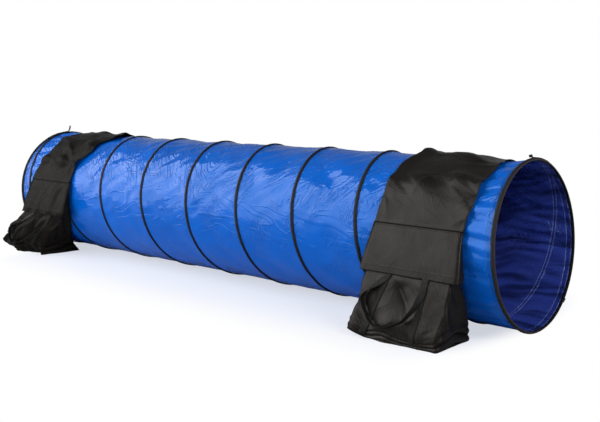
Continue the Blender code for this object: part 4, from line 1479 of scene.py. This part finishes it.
@dataclass
class Pouch:
    """One side of a saddlebag: pocket, flap, straps, handle and fastener tapes."""

    name: str
    side: Side
    middle_x: float
    tube: TubeSizes
    sizes: BagSizes
    folds: Folds
    bag_radius: float
    shop: Workshop
    finishes: dict[str, Material]
    hang: Hang
    seed: int

    def __post_init__(self) -> None:
        """Work out where the seam, the pocket's rim, the flap's hem, roots and straps' tops are."""
        s = self.sizes
        sine = math.sin(s.seam_angle)
        self.yoke = self.name.split("_")[0] + "_yoke"
        self.seam_z = self.tube.axis_height + self.bag_radius * math.cos(s.seam_angle)
        self.seam_out = (self.bag_radius + s.seam_band) * sine
        self.rim_z = self.seam_z - s.rim_drop
        self.rim_out = self.bag_radius * sine + s.rim_out
        self.hem_z = self.seam_z - s.flap_drop
        self.root_z = self.hem_z - s.hem_gap
        self.strap_top_z = self.seam_z - s.strap_top_drop

    def world(self, x: Array, out: Array, z: Array) -> Array:
        """Points in the frame from places across, out from and above the tube's foot."""
        x, out, z = np.broadcast_arrays(x, out, z)
        if self.side is Side.FRONT:
            back = self.back(z)
            depth = np.clip((out - back) / (self.plane(z) - back), -0.2, 1.6)
            out = out - self.hang.tucked(z, depth)
            front = np.clip(depth, 0.0, 1.0)
            corner = between(x, -0.10, -0.20) * between(z, 0.15, 0.0) * front
            turned = between(z, 0.24, 0.14) * between(z, -0.02, 0.05)
            out = out + self.hang.twist * (0.5 - x / 0.39) * turned * front
            x = self.hang.shift(x, z, front)
            z = z + self.hang.corner_rise * corner
        return np.stack([self.middle_x + x, self.side.value * out, z], axis=-1)

    def plane(self, z: Array) -> Array:
        """Distance of the pocket's plain front from the middle of the tube."""
        return self.rim_out + self.sizes.lean * (self.rim_z - z)

    def front_fold(self, x: Array, z: Array) -> Array:
        """How far the cloth of the pocket's front stands off its plane."""
        f, seed = self.folds, self.seed
        free = between(z, self.hem_z + 0.012, self.hem_z - 0.030) * between(np.abs(x), 0.205, 0.175)
        soft = Waves(seed, (0.12, 0.25), 60.0, 70.0, 8).at(x, z)
        drag = Waves(seed + 1, (0.06, 0.12), 56.0, 20.0, 5).facets(x, z)
        cross = Waves(seed + 4, (0.06, 0.13), 128.0, 22.0, 5).facets(x, z)
        crease = Waves(seed + 2, (0.07, 0.13), 55.0, 30.0, 8).creases(x, z, 4.0)
        patch = ease(0.5 + 0.6 * Waves(seed + 3, (0.12, 0.3), 20.0, 80.0, 6).at(x, z))
        belly = f.belly * bump(z, 0.10, 0.07) * (1.0 - (x / 0.22) ** 2)
        valley = f.valley * np.exp(-np.abs(x - 0.02 + (z - 0.13) * 0.9) / 0.016) * bump(z, 0.155, 0.05)
        sharp = f.dragged * drag * (0.3 + 0.7 * patch) + f.crossing * cross * (1.0 - patch)
        sharp = (sharp + f.crease * (crease - 0.15) * patch) * self.hang.crumple
        waves = (f.soft * soft + sharp) * (0.75 + 0.6 * between(z, 0.17, 0.02))
        return self.hang.slack * free * (belly - valley + waves)

    def front(self, x: Array, z: Array, lift: Array) -> Array:
        """Points over the pocket's front, lifted square off it."""
        s = self.sizes
        out = self.plane(z) + self.front_fold(x, z) + lift / s.slope
        return self.world(x, out, z + lift * s.lean / s.slope)

    def back(self, z: Array) -> Array:
        """The pocket's back: against the tube, then straight down to the base."""
        leave_z = self.tube.axis_height + self.bag_radius * math.cos(self.sizes.leave_angle)
        leave_out = self.bag_radius * math.sin(self.sizes.leave_angle)
        down = (z - self.tube.axis_height) / self.bag_radius
        belly = self.bag_radius * np.sqrt(np.clip(1.0 - down ** 2, 0.0, 1.0))
        low = leave_out + (self.sizes.base_back - leave_out) * (leave_z - z) / leave_z
        return np.where(z >= leave_z, belly, low)

    def half_width(self, z: Array) -> Array:
        """Half the pocket's width at one height."""
        s = self.sizes
        top = s.seam_width - 2.0 * (s.cloth + s.side_clearance)
        share = 1.0 - z / self.seam_z
        return (top + (s.seam_width + s.base_flare - top) * share) / 2.0

    def piece(self, name: str, bm: BMesh, finish: str, body: str, node: str,
              **more: float) -> Object:
        """Make a piece of the pouch.

        Args:
            name: The piece's name after the pouch's.
            bm: Its mesh, which is used up.
            finish: The word of its material.
            body: The name of its body after the pouch's.
            node: The name of the CAD node that it replaces, after the pouch's.
            **more: What else the workshop is told.

        Returns:
            The finished object.
        """
        slot = Slot.WEBBING if finish == "webbing" else Slot.BAG_CLOTH
        return self.shop.piece(self.name + "_" + name, bm, (self.finishes[finish],), slot,
                               self.name + "_" + body, [self.name + "_" + node], **more)

    def build(self) -> None:
        """Build every piece of this side."""
        self.build_pocket()
        self.build_flap()
        self.build_fasteners()
        self.build_straps()
        self.build_handle()

    def build_pocket(self) -> None:
        """The pocket: an open bag that has settled in folds over its flat base."""
        s = self.sizes
        levels = np.concatenate([np.linspace(0.0, 0.26, 40)[:-1], np.linspace(0.26, 1.0, 40)])
        plan = Plan.drawn(34, 26, 84)
        top = self.rim_z + (self.seam_z - 0.0006 - self.rim_z) * (0.5 - 0.5 * plan.out)
        z = levels[:, None] * top[None, :]
        half = self.half_width(z)
        back, front = self.back(z), self.plane(z)
        radius = np.minimum(s.corner, (front - back) * 0.3)
        x = plan.placed(plan.across, plan.normal_x, half, radius)
        out = (front + back) / 2.0 + plan.placed(plan.out, plan.normal_out, (front - back) / 2.0, radius)
        steps = np.hypot(np.diff(x, axis=1), np.diff(out, axis=1))
        around = np.concatenate([np.zeros((len(levels), 1)), np.cumsum(steps, axis=1)], axis=1)
        push, drop = self.slump(z, around, plan)
        push = push + self.side_fold(z, around, plan)
        free_front = self.front_fold(x, z) * np.clip(plan.normal_out, 0.0, 1.0)
        z = np.clip(z + drop, s.floor_gap, None)
        points = self.world(x + plan.normal_x * push, out + plan.normal_out * push + free_front, z)
        flat = paired(around, z * s.slope)
        base = points[0].mean(axis=0)
        rows, flats = [], []
        for share in (0.0, 0.55, 0.9, 0.985):
            ring = base + (points[0] - base) * share
            ring[:, 2] = s.floor_gap + (points[0][:, 2] - s.floor_gap) * share ** 3
            rows.append(ring)
            flats.append(flat[0] - np.array([0.0, 0.05 * (1.0 - share)]))
        surface = Surface(np.concatenate([np.array(rows), points]), np.concatenate([np.array(flats), flat]))
        centre = Vector(self.world(0.0, (self.back(0.15) + self.plane(0.15)) / 2.0, 0.15))
        bm = surface.to_bmesh(lambda p: Vector((centre.x, centre.y, p.z)) if p.z > 0.002 else centre)
        item = self.piece("bag", bm, "pocket", "pouch", "pocket", wall=s.cloth, sharp=65.0)

    def slump(self, z: Array, around: Array, plan: Plan) -> tuple[Array, Array]:
        """Folds that the empty pocket settles into over its base.

        Args:
            z: Heights on the pocket.
            around: Places round it.
            plan: Its outline in plan.

        Returns:
            How far each point is pushed out, and how far it is let down.
        """
        seed, girth = self.seed + 20, 1.25
        sway = Waves(seed, (0.25, 0.6), 90.0, 10.0, 6, girth).at(z * 0.0, around)
        stir = Waves(seed + 1, (0.08, 0.20), 80.0, 20.0, 6, girth).at(z, around)
        sides = 0.30 + 0.70 * np.abs(plan.normal_x)
        back = 1.0 - 0.6 * np.clip(-plan.normal_out, 0.0, 1.0)
        height = self.sizes.slump_height * (0.60 + 0.18 * sway + 0.50 * np.abs(plan.normal_x))
        pleat = TURN * (z / (height * 0.42) + 0.14 * stir) - 1.4
        sharp = np.arcsin(0.97 * np.sin(pleat)) * 2.0 / math.pi
        fade = between(z, height * 1.25, height * 0.55) * between(z, -0.004, 0.006) * sides * self.hang.slack
        return self.folds.slump * back * fade * (sharp * 0.8 - 0.42), -self.folds.drop * fade * np.cos(pleat)

    def side_fold(self, z: Array, around: Array, plan: Plan) -> Array:
        """How far a gusset is drawn in between its corners, with its long folds."""
        side = np.clip(np.abs(plan.normal_x), 0.0, 1.0)
        sway = Waves(self.seed + 30, (0.05, 0.10), 88.0, 14.0, 8).at(z, around)
        tall = between(z, 0.03, 0.10) * between(z, 0.37, 0.28)
        return side * tall * self.hang.slack * (self.folds.gusset * sway - self.folds.gusset_in)

    def build_flap(self) -> None:
        """The flap, sewn on at the seam, hemmed and folded round the pocket's sides."""
        s, f = self.sizes, self.folds
        rows, middle, turned = 44, 72, 9
        down = np.linspace(0.0, 1.0, rows + 1)[:, None]
        z = self.seam_z + 0.0008 - (s.flap_drop + 0.0008) * down
        lift = 2.0 * (s.gap + s.web_wall) + s.gap + s.cloth
        top_out = self.seam_out - s.gap
        fallen = self.seam_z - z
        at_rim = self.plane(self.rim_z) + lift * s.slope - top_out
        at_hem = self.plane(self.hem_z) + lift * s.slope - top_out
        curve = (at_rim / s.rim_drop - at_hem / s.flap_drop) / (s.flap_drop - s.rim_drop)
        out = top_out + fallen * (at_hem / s.flap_drop + curve * (s.flap_drop - fallen))
        half = (s.seam_width + s.hem_flare * between(down, 0.0, 0.9)) / 2.0
        fold = s.flap_top_return + (s.flap_return - s.flap_top_return) * np.clip(down * 1.15, 0.0, 1.0)
        parts = np.concatenate([np.linspace(-2.0, -1.0, turned + 1)[:-1],
                                np.linspace(-1.0, 1.0, middle + 1),
                                np.linspace(1.0, 2.0, turned + 1)[1:]])[None, :]
        on_side = np.clip(np.abs(parts) - 1.0, 0.0, 1.0)
        on_front = np.clip(np.abs(parts), 0.0, 1.0) * np.sign(parts)
        soft_corner = 0.004 * bump(np.abs(parts), 1.0, 0.035)
        x = on_front * half - np.sign(parts) * soft_corner
        wide = Waves(self.seed + 40, (0.14, 0.30), 15.0, 40.0, 8).at(x, z)
        long_fold = Waves(self.seed + 41, (0.09, 0.18), -38.0, 20.0, 5).at(x, z)
        wave = self.hang.slack * between(down, 0.02, 0.25) * (
            f.flap_wide * wide + f.flap_long * long_fold * self.hang.crumple)
        wave = np.maximum(wave, -f.flap_in) * (1.0 - on_side)
        hem_top = self.hem_z + s.hem_band
        hem = between(z, hem_top + s.hem_edge, hem_top) * s.hem_wall
        flare = f.flap_flare * ease(on_side) * between(down, 0.5, 1.0) * self.hang.slack
        points = self.world(x + np.sign(parts) * (flare + hem * on_side),
                            out - on_side * fold - soft_corner + wave + hem, z + 0.0 * x)
        surface = Surface(points, paired(x + np.sign(parts) * on_side * fold, z - self.hem_z))
        inside = Vector(self.world(0.0, self.back(0.25), 0.28))
        bm = surface.to_bmesh(lambda p: inside)
        item = self.piece("cover", bm, "flap", "flap_panel", "flap", wall=s.cloth, sharp=65.0)

    def strap_x(self, index: int, z: Array) -> Array:
        """Middle of a strap across the pocket; index 0 is the left one."""
        s = self.sizes
        share = (self.strap_top_z - z) / (self.strap_top_z - s.strap_foot)
        top = s.strap_top_shift + (index - 0.5) * s.strap_top_spread
        foot = s.strap_foot_shift + (index - 0.5) * s.strap_foot_spread
        return top + (foot - top) * share

    def build_fasteners(self) -> None:
        """Dress the hook and loop tapes, which stay as the frame has them."""
        for word in ("hook", "loop"):
            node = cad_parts[self.name + "_" + word + "_strip"]
            node.data.materials.clear()
            node.data.materials.append(self.finishes[word])

    def build_straps(self) -> None:
        """Two webbing straps down the front, each doubled above the handle's root."""
        s = self.sizes
        spread = np.linspace(-1.0, 1.0, 9)[None, :]
        z = np.linspace(s.strap_foot, self.strap_top_z, 90)[:, None]
        layers = np.where(z > self.root_z + 0.0008, 2.0 * (s.gap + s.web_wall), s.gap + s.web_wall)
        rounded = 0.0005 * np.abs(spread) ** 4
        inside = self.world(0.0, self.back(0.2), 0.2)
        for index, word in enumerate(("left", "right")):
            x = self.strap_x(index, z) + spread * s.web_half
            points = self.front(x, np.broadcast_to(z, x.shape), layers + 0.0007 - rounded)
            points[..., 2] = np.maximum(points[..., 2], 0.002)
            surface = Surface(points, paired(z * s.slope, spread * s.web_half))
            bm = surface.to_bmesh(lambda p: Vector((p.x, inside[1], p.z)))
            self.piece("webbing_" + word, bm, "webbing", "pouch", "strap_" + word, wall=s.web_wall)

    def handle_line(self, steps: int) -> Array:
        """The handle's line over the front, across and down, through its route's points."""
        s = self.sizes
        left, right = (float(self.strap_x(index, self.root_z)) for index in (0, 1))
        route = np.array([(left + (right - left) * a, s.handle_drop * d) for a, d in s.handle_route])
        ends = np.concatenate([route[:1], route, route[-1:]])
        place = np.linspace(0.0, len(route) - 1.0, steps + 1)
        index = np.minimum(place.astype(int), len(route) - 2)
        t = (place - index)[:, None]
        a, b, c, d = (ends[index + k] for k in range(4))
        return 0.5 * (2.0 * b + (c - a) * t + (2.0 * a - 5.0 * b + 4.0 * c - d) * t ** 2
                      + (3.0 * b - a - 3.0 * c + d) * t ** 3)

    def build_handle(self) -> None:
        """Webbing loop that hangs over the front and stands on edge at its foot."""
        s = self.sizes
        steps = 110
        line = self.handle_line(steps)
        share = np.linspace(0.0, 1.0, steps + 1)
        from_root = np.minimum(share, 1.0 - share)
        run = unit(np.gradient(line, axis=0))
        root = between(from_root, 0.05, 0.0)[:, None]
        straight = np.where(share[:, None] < 0.5, np.array([[0.0, 1.0]]), np.array([[0.0, -1.0]]))
        run = unit(run * (1.0 - root) + straight * root)
        turned = ease(np.clip(from_root / s.handle_twist, 0.0, 1.0))
        twist = math.radians(90.0) * turned
        sway = np.abs(Waves(self.seed + 60, (0.10, 0.2), 0.0, 5.0, 5).along(share * 0.6))
        centre = (2.0 * s.gap + s.web_wall + s.web_wall / 2.0 * np.cos(twist) + s.web_half * np.sin(twist)
                  + 0.004 * sway * turned)
        across = np.stack([run[:, 1], -run[:, 0]], axis=-1)
        along = summed(np.hypot(*np.diff(line, axis=0).T))
        wide = np.linspace(-1.0, 1.0, 9)[None, :] * s.web_half
        flat_off = wide * np.cos(twist)[:, None]
        x = line[:, :1] + across[:, :1] * flat_off
        down = line[:, 1:] + across[:, 1:] * flat_off
        points = self.front(x, self.root_z - down / s.slope,
                            centre[:, None] + wide * np.sin(twist)[:, None])
        bm = Surface(points, paired(along[:, None], wide)).to_bmesh()
        self.piece("grip_loop", bm, "webbing", "grip", "handle", wall=s.web_wall, offset=0.0)


@dataclass
class Saddlebag:
    """One saddlebag: the yoke over the tube and a pouch on either side."""

    name: str
    tube: TubeSizes
    shop: Workshop
    effects: Effects
    hang: Hang
    sizes: BagSizes = BagSizes()
    folds: Folds = Folds()

    def __post_init__(self) -> None:
        """Read from the frame where the saddlebag lies."""
        low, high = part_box(self.name + "_yoke")
        self.middle_x = (low.x + high.x) / 2.0
        self.bag_radius = high.z - self.tube.axis_height - self.sizes.cloth

    def make_finishes(self) -> dict[str, Material]:
        """Make the materials of the yoke and of both pouches."""
        s, hang = self.sizes, self.hang
        cloth = dict(colour=(0.0070, 0.0060, 0.0052), second=(0.0095, 0.0083, 0.0072), roughness=0.35,
                     specular=hang.gloss, tint=(1.0, 0.96, 0.92), limp=0.35 + 0.55 * hang.crumple)
        made = {
            "yoke": BagCloth(self.name + "_yoke_nylon", **cloth),
            "pocket": BagCloth(self.name + "_pocket_nylon", **cloth),
            "flap": BagCloth(self.name + "_flap_nylon", hems=(s.hem_band - 0.003, s.flap_drop - 0.005),
                             **cloth),
            "webbing": Webbing(self.name + "_webbing", (0.0035, 0.0035, 0.0035), (0.006, 0.0055, 0.005),
                               0.65, specular=0.25, half_width=s.web_half),
            "hook": Fastener(self.name + "_hook_tape", (0.012, 0.012, 0.012), (0.03, 0.03, 0.03), 0.7),
            "loop": Fastener(self.name + "_loop_tape", (0.016, 0.016, 0.016), (0.035, 0.035, 0.035), 0.95),
        }
        return {word: finish.build(self.effects) for word, finish in made.items()}

    def build(self) -> None:
        """Build the yoke and both pouches."""
        finishes = self.make_finishes()
        self.build_yoke(finishes["yoke"])
        for number, side in enumerate(Side):
            Pouch(self.name + "_" + side.name.lower(), side, self.middle_x, self.tube, self.sizes, self.folds,
                  self.bag_radius, self.shop, finishes, self.hang, self.hang.seed + 100 * number).build()

    def build_yoke(self, material: Material) -> None:
        """The panel over the tube, with its hems and the felled seams at its ends."""
        s, f, tube, hang = self.sizes, self.folds, self.tube, self.hang
        reach = s.seam_angle + 0.0014 / self.bag_radius
        turn = np.linspace(-reach, reach, 131)[:, None]
        across = np.linspace(0.0, 1.0, 79)[None, :]
        left, right = hang.edge(turn, hang.left), hang.edge(turn, hang.right)
        x = left + (right - left) * across
        arc = turn * self.bag_radius
        off = tube.from_turn(self.middle_x + x, turn % TURN)
        held = between(np.abs(turn) / s.seam_angle, 1.0, 0.82)
        soft = Waves(hang.seed + 70, (0.14, 0.30), 50.0, 60.0, 8).at(x, arc)
        drag = Waves(hang.seed + 71, (0.08, 0.17), 66.0, 26.0, 4).facets(x, arc)
        loose = hang.slack * (1.0 - hang.calm * bump(turn, 0.05, 0.42))
        height = (f.yoke_soft * soft + f.yoke_drag * drag) * loose
        height = 0.5 * (height + np.sqrt(height ** 2 + 0.003 ** 2)) - f.bridge * (1.0 - bump(off, 0.0, 0.055))
        height = (height + hang.ridged(x, arc, self.bag_radius, f.ridge_half)) * held
        height = height + hang.lift.at(across, turn) - self.sunk(x, turn)
        rim = np.minimum(across, 1.0 - across) * (right - left)
        hem = between(rim, 0.013, 0.013 - s.hem_edge) * s.hem_wall
        from_seam = self.bag_radius * (s.seam_angle - np.abs(turn))
        band = between(from_seam, s.seam_height + 0.0008, s.seam_height) * (s.seam_band - s.cloth)
        points = tube.ring(self.middle_x + x, self.bag_radius + s.cloth + height + hem + band, turn)
        bm = Surface(points, paired(x, arc)).to_bmesh(tube.axis_beside)
        item = self.shop.piece(self.name + "_yoke_panel", bm, (material,), Slot.BAG_CLOTH,
                               self.name + "_saddlebag", [self.name + "_yoke"], wall=s.cloth, sharp=65.0)

    def sunk(self, x: Array, turn: Array) -> Array:
        """How far the yoke follows the roof that its own weight draws down."""
        beside = between(x, 0.02, 0.15) * (1.0 - 0.30 * between(x, 0.17, 0.24))
        return self.hang.sunk * beside * bump(turn, 0.0, 0.55)


NEAR_HANG = Hang(
    seed=200, slack=1.0, crumple=0.45, gloss=0.165, corner_rise=0.028, twist=0.0, calm=0.0, sunk=0.0125,
    lift=Lift(0.010, 0.18, 0.0, math.radians(-8.0), 0.0),
    turns=(-75.0, -58.0, -44.0, -26.0, -10.0, 0.0, 20.0, 50.0, 75.0),
    left=(-0.182, -0.178, -0.175, -0.180, -0.152, -0.138, -0.140, -0.170, -0.190),
    right=(0.192, 0.203, 0.203, 0.206, 0.196, 0.172, 0.160, 0.176, 0.190),
    levels=(0.0, 0.07, 0.17, 0.24, 0.387),
    drag=(-0.011, -0.004, 0.004, 0.007, 0.003),
    squeeze=(0.97, 0.99, 1.0, 1.0, 0.985),
    tuck=(0.0,) * 5,
    back_tuck=(0.0,) * 5,
    ridges=((0.150, -60.0, 0.202, -50.0, 0.006), (0.085, -79.0, 0.200, -64.0, 0.007),
            (-0.165, -57.0, -0.120, -77.0, 0.005), (-0.085, -37.0, 0.130, -34.0, 0.004),
            (0.020, -21.0, 0.230, -17.0, 0.004), (-0.060, -53.0, -0.010, -36.0, 0.005),
            (0.080, -44.0, 0.125, -33.0, 0.004)),
)
FAR_HANG = Hang(
    seed=600, slack=1.4, crumple=1.9, gloss=0.035, corner_rise=0.012, twist=0.075, calm=0.55, sunk=0.0,
    lift=Lift(0.004, 0.80, 1.0, -0.25, 9.0),
    turns=(-75.0, -65.0, -59.0, -51.0, -46.0, -39.0, -28.0, -20.0, -13.0, 0.0, 20.0, 50.0, 75.0),
    left=(-0.190, -0.173, -0.160, -0.144, -0.140, -0.135, -0.142, -0.178, -0.118, -0.099, -0.160,
          -0.185, -0.190),
    right=(0.160, 0.165, 0.167, 0.185, 0.200, 0.222, 0.214, 0.238, 0.272, 0.228, 0.150, 0.175, 0.190),
    levels=(0.0, 0.04, 0.10, 0.17, 0.22, 0.24, 0.387),
    drag=(-0.190, -0.206, -0.150, -0.068, -0.020, -0.012, -0.010),
    squeeze=(0.78, 0.82, 0.86, 0.89, 0.93, 0.92, 0.92),
    tuck=(0.095, 0.098, 0.071, 0.043, 0.008, 0.0, 0.0),
    back_tuck=(0.076, 0.055, 0.026, 0.002, 0.0, 0.0, 0.0),
    ridges=((-0.170, -19.0, 0.010, -33.0, 0.009), (-0.020, -31.0, 0.135, -54.0, 0.008),
            (0.070, -33.0, 0.215, -34.0, 0.006), (0.120, -46.0, 0.125, -70.0, 0.005),
            (0.040, -18.0, 0.230, -24.0, 0.006), (-0.090, -62.0, 0.010, -48.0, 0.004)),
)


@dataclass(frozen=True)
class SoftBox:
    """A rectangular soft box.

    at is its middle, aim the point that it faces, size its width and height, and
    radiance the brightness of its face, where 1 is white.
    """

    name: str
    at: Point
    aim: Point
    size: tuple[float, float]
    radiance: float

    def hang(self) -> None:
        """Add the lamp to the scene."""
        data = bpy.data.lights.new(self.name, "AREA")
        data.shape = "RECTANGLE"
        data.size, data.size_y = self.size
        data.energy = self.radiance * math.pi * self.size[0] * self.size[1]
        lamp = link(self.name, data)
        lamp.location = self.at
        lamp.rotation_euler = (Vector(self.aim) - Vector(self.at)).to_track_quat("-Z", "Y").to_euler()


@dataclass(frozen=True)
class Floor:
    """A pale floor that keeps the shadow and turns white away from the tunnel.

    reach is half its side. white is the distance from the tunnel over which it turns
    white, measured from the axis and, past straight along it, squeezed in length.
    lift is how much of it glows by itself under the tunnel, with a glow of that
    colour and strength; the glow is tinted blue, painted light for what the blue tube
    bounces onto the floor. Gloss on the tunnel sees it darker by dim, and white at the
    distances far for as much as far_share.
    """

    reach: float = 14.0
    colour: Colour = (0.78, 0.79, 0.82)
    roughness: float = 0.85
    straight: float = 1.2
    squeeze: float = 2.6
    white: tuple[float, float] = (0.30, 0.68)
    lift: float = 0.62
    # Painted light: bluish, for the light that the blue tube bounces onto the floor.
    bounce_glow_colour: Colour = (0.88, 0.915, 1.0)
    glow: float = 1.08
    dim: float = 0.6
    far: tuple[float, float] = (1.40, 2.40)
    far_share: float = 0.6

    def lay(self) -> None:
        """Add the floor to the scene."""
        bm = bmesh.new()
        bmesh.ops.create_grid(bm, x_segments=2, y_segments=2, size=self.reach)
        mesh = bpy.data.meshes.new("floor")
        bm.to_mesh(mesh)
        bm.free()
        mesh.materials.append(self.make_material())
        link("floor", mesh)

    def off_tunnel(self, tree: Tree) -> Socket:
        """Distance of a point from the tunnel's axis, as a socket."""
        parts = tree.parts(tree.add("ShaderNodeTexCoord").outputs["Object"])
        past = tree.minus(tree.math("ABSOLUTE", parts["X"]), self.straight)
        past = tree.times(tree.larger(past, 0.0), self.squeeze)
        return tree.math("SQRT", tree.plus(tree.times(past, past), tree.times(parts["Y"], parts["Y"])))

    def make_material(self) -> Material:
        """Make the floor's material."""
        material = bpy.data.materials.new("pale_floor")
        material.use_nodes = True
        tree = Tree(material.node_tree)
        shader = material.node_tree.nodes["Principled BSDF"]
        shader.inputs["Base Color"].default_value = (*self.colour, 1.0)
        shader.inputs["Roughness"].default_value = self.roughness
        shader.inputs["Specular IOR Level"].default_value = 0.1
        lit = shader.outputs["BSDF"]
        distance = self.off_tunnel(tree)
        rays = tree.add("ShaderNodeLightPath").outputs
        seen = tree.larger(rays["Is Camera Ray"], rays["Is Transmission Ray"])
        glossy = rays["Is Glossy Ray"]
        white = tree.glow((1.0, 1.0, 1.0), 1.0)
        # Painted light: the bluish glow stands for light that the blue tube bounces onto the floor.
        lifted = tree.blend(self.lift, lit, tree.glow(self.bounce_glow_colour, self.glow))
        unlit = tree.add("ShaderNodeEmission", Strength=0.0).outputs["Emission"]
        dimmed = tree.blend(tree.times(glossy, self.dim), lit, unlit)
        whitened = tree.times(tree.span(distance, *self.far, 0.0, self.far_share), glossy)
        near = tree.blend(seen, tree.blend(whitened, dimmed, white), lifted)
        share = tree.times(tree.span(distance, *self.white), seen)
        output = material.node_tree.nodes["Material Output"]
        tree.feed(output.inputs["Surface"], tree.blend(share, near, white))
        return material


@dataclass
class Studio:
    """Floor, backdrop, light and camera, which stands where the photograph was taken."""

    eye: Point = (2.971, -2.834, 0.941)
    yaw: float = 43.19
    pitch: float = 8.98
    roll: float = -1.25
    focal_pixels: float = 909.8
    picture_width: float = 600.0
    sensor: float = 36.0
    floor: Floor = Floor()
    lamps: tuple[SoftBox, ...] = (
        SoftBox("left_box", (-2.7, -3.2, 3.20), (0.1, 0.0, 0.40), (7.0, 4.0), 3.4),
        SoftBox("low_box", (-3.42, -4.06, 0.86), (-0.66, -0.90, 0.86), (7.0, 1.30), 2.1),
        SoftBox("mouth_box", (4.1, -0.9, 2.3), (1.25, 0.28, 0.15), (1.5, 1.3), 12.5),
    )

    def build(self) -> None:
        """Set up the whole studio."""
        self.place_camera()
        self.floor.lay()
        for lamp in self.lamps:
            lamp.hang()
        self.set_world()
        bpy.context.scene.view_settings.view_transform = "Standard"

    def place_camera(self) -> None:
        """The camera at the photograph's place and angle."""
        yaw, pitch, roll = (math.radians(a) for a in (self.yaw, self.pitch, self.roll))
        ahead = Vector((-math.sin(yaw) * math.cos(pitch), math.cos(yaw) * math.cos(pitch), -math.sin(pitch)))
        right = Vector((math.cos(yaw), math.sin(yaw), 0.0))
        up = right.cross(ahead)
        right_rolled = right * math.cos(roll) + up * math.sin(roll)
        up_rolled = up * math.cos(roll) - right * math.sin(roll)
        turn = Matrix((right_rolled, up_rolled, -ahead)).transposed()
        data = bpy.data.cameras.new("camera")
        data.sensor_width = self.sensor
        data.lens = self.focal_pixels / self.picture_width * self.sensor
        camera = link("camera", data)
        camera.matrix_world = Matrix.Translation(self.eye) @ turn.to_4x4()
        bpy.context.scene.camera = camera

    def set_world(self) -> None:
        """Even light from all round, less of it from above; white to the camera."""
        world = bpy.data.worlds.new("studio")
        bpy.context.scene.world = world
        world.use_nodes = True
        world.node_tree.nodes.clear()
        tree = Tree(world.node_tree)
        height = tree.parts(tree.add("ShaderNodeTexCoord").outputs["Generated"])["Z"]
        rays = tree.add("ShaderNodeLightPath").outputs
        seen = tree.larger(rays["Is Camera Ray"], rays["Is Transmission Ray"])
        level = tree.span(height, 0.05, 0.60, 0.36, 0.16)
        soft, white = (tree.add("ShaderNodeBackground", Color=colour, Strength=strength).outputs[0]
                       for colour, strength in (((0.94, 0.97, 1.0, 1.0), level), ((1.0,) * 4, 1.0)))
        tree.add("ShaderNodeOutputWorld", Surface=tree.blend(seen, soft, white))


def main() -> None:
    """Build the studio, the tube and the two saddlebags."""
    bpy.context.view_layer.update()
    shop = Workshop()
    effects = Effects()
    Studio().build()
    sizes = TubeSizes()
    Tube(sizes, shop, effects).build()
    Saddlebag("near", sizes, shop, effects, NEAR_HANG).build()
    Saddlebag("far", sizes, shop, effects, FAR_HANG).build()
    log.info("%d pieces", len(shop.made))


if __name__ == "__main__":
    main()
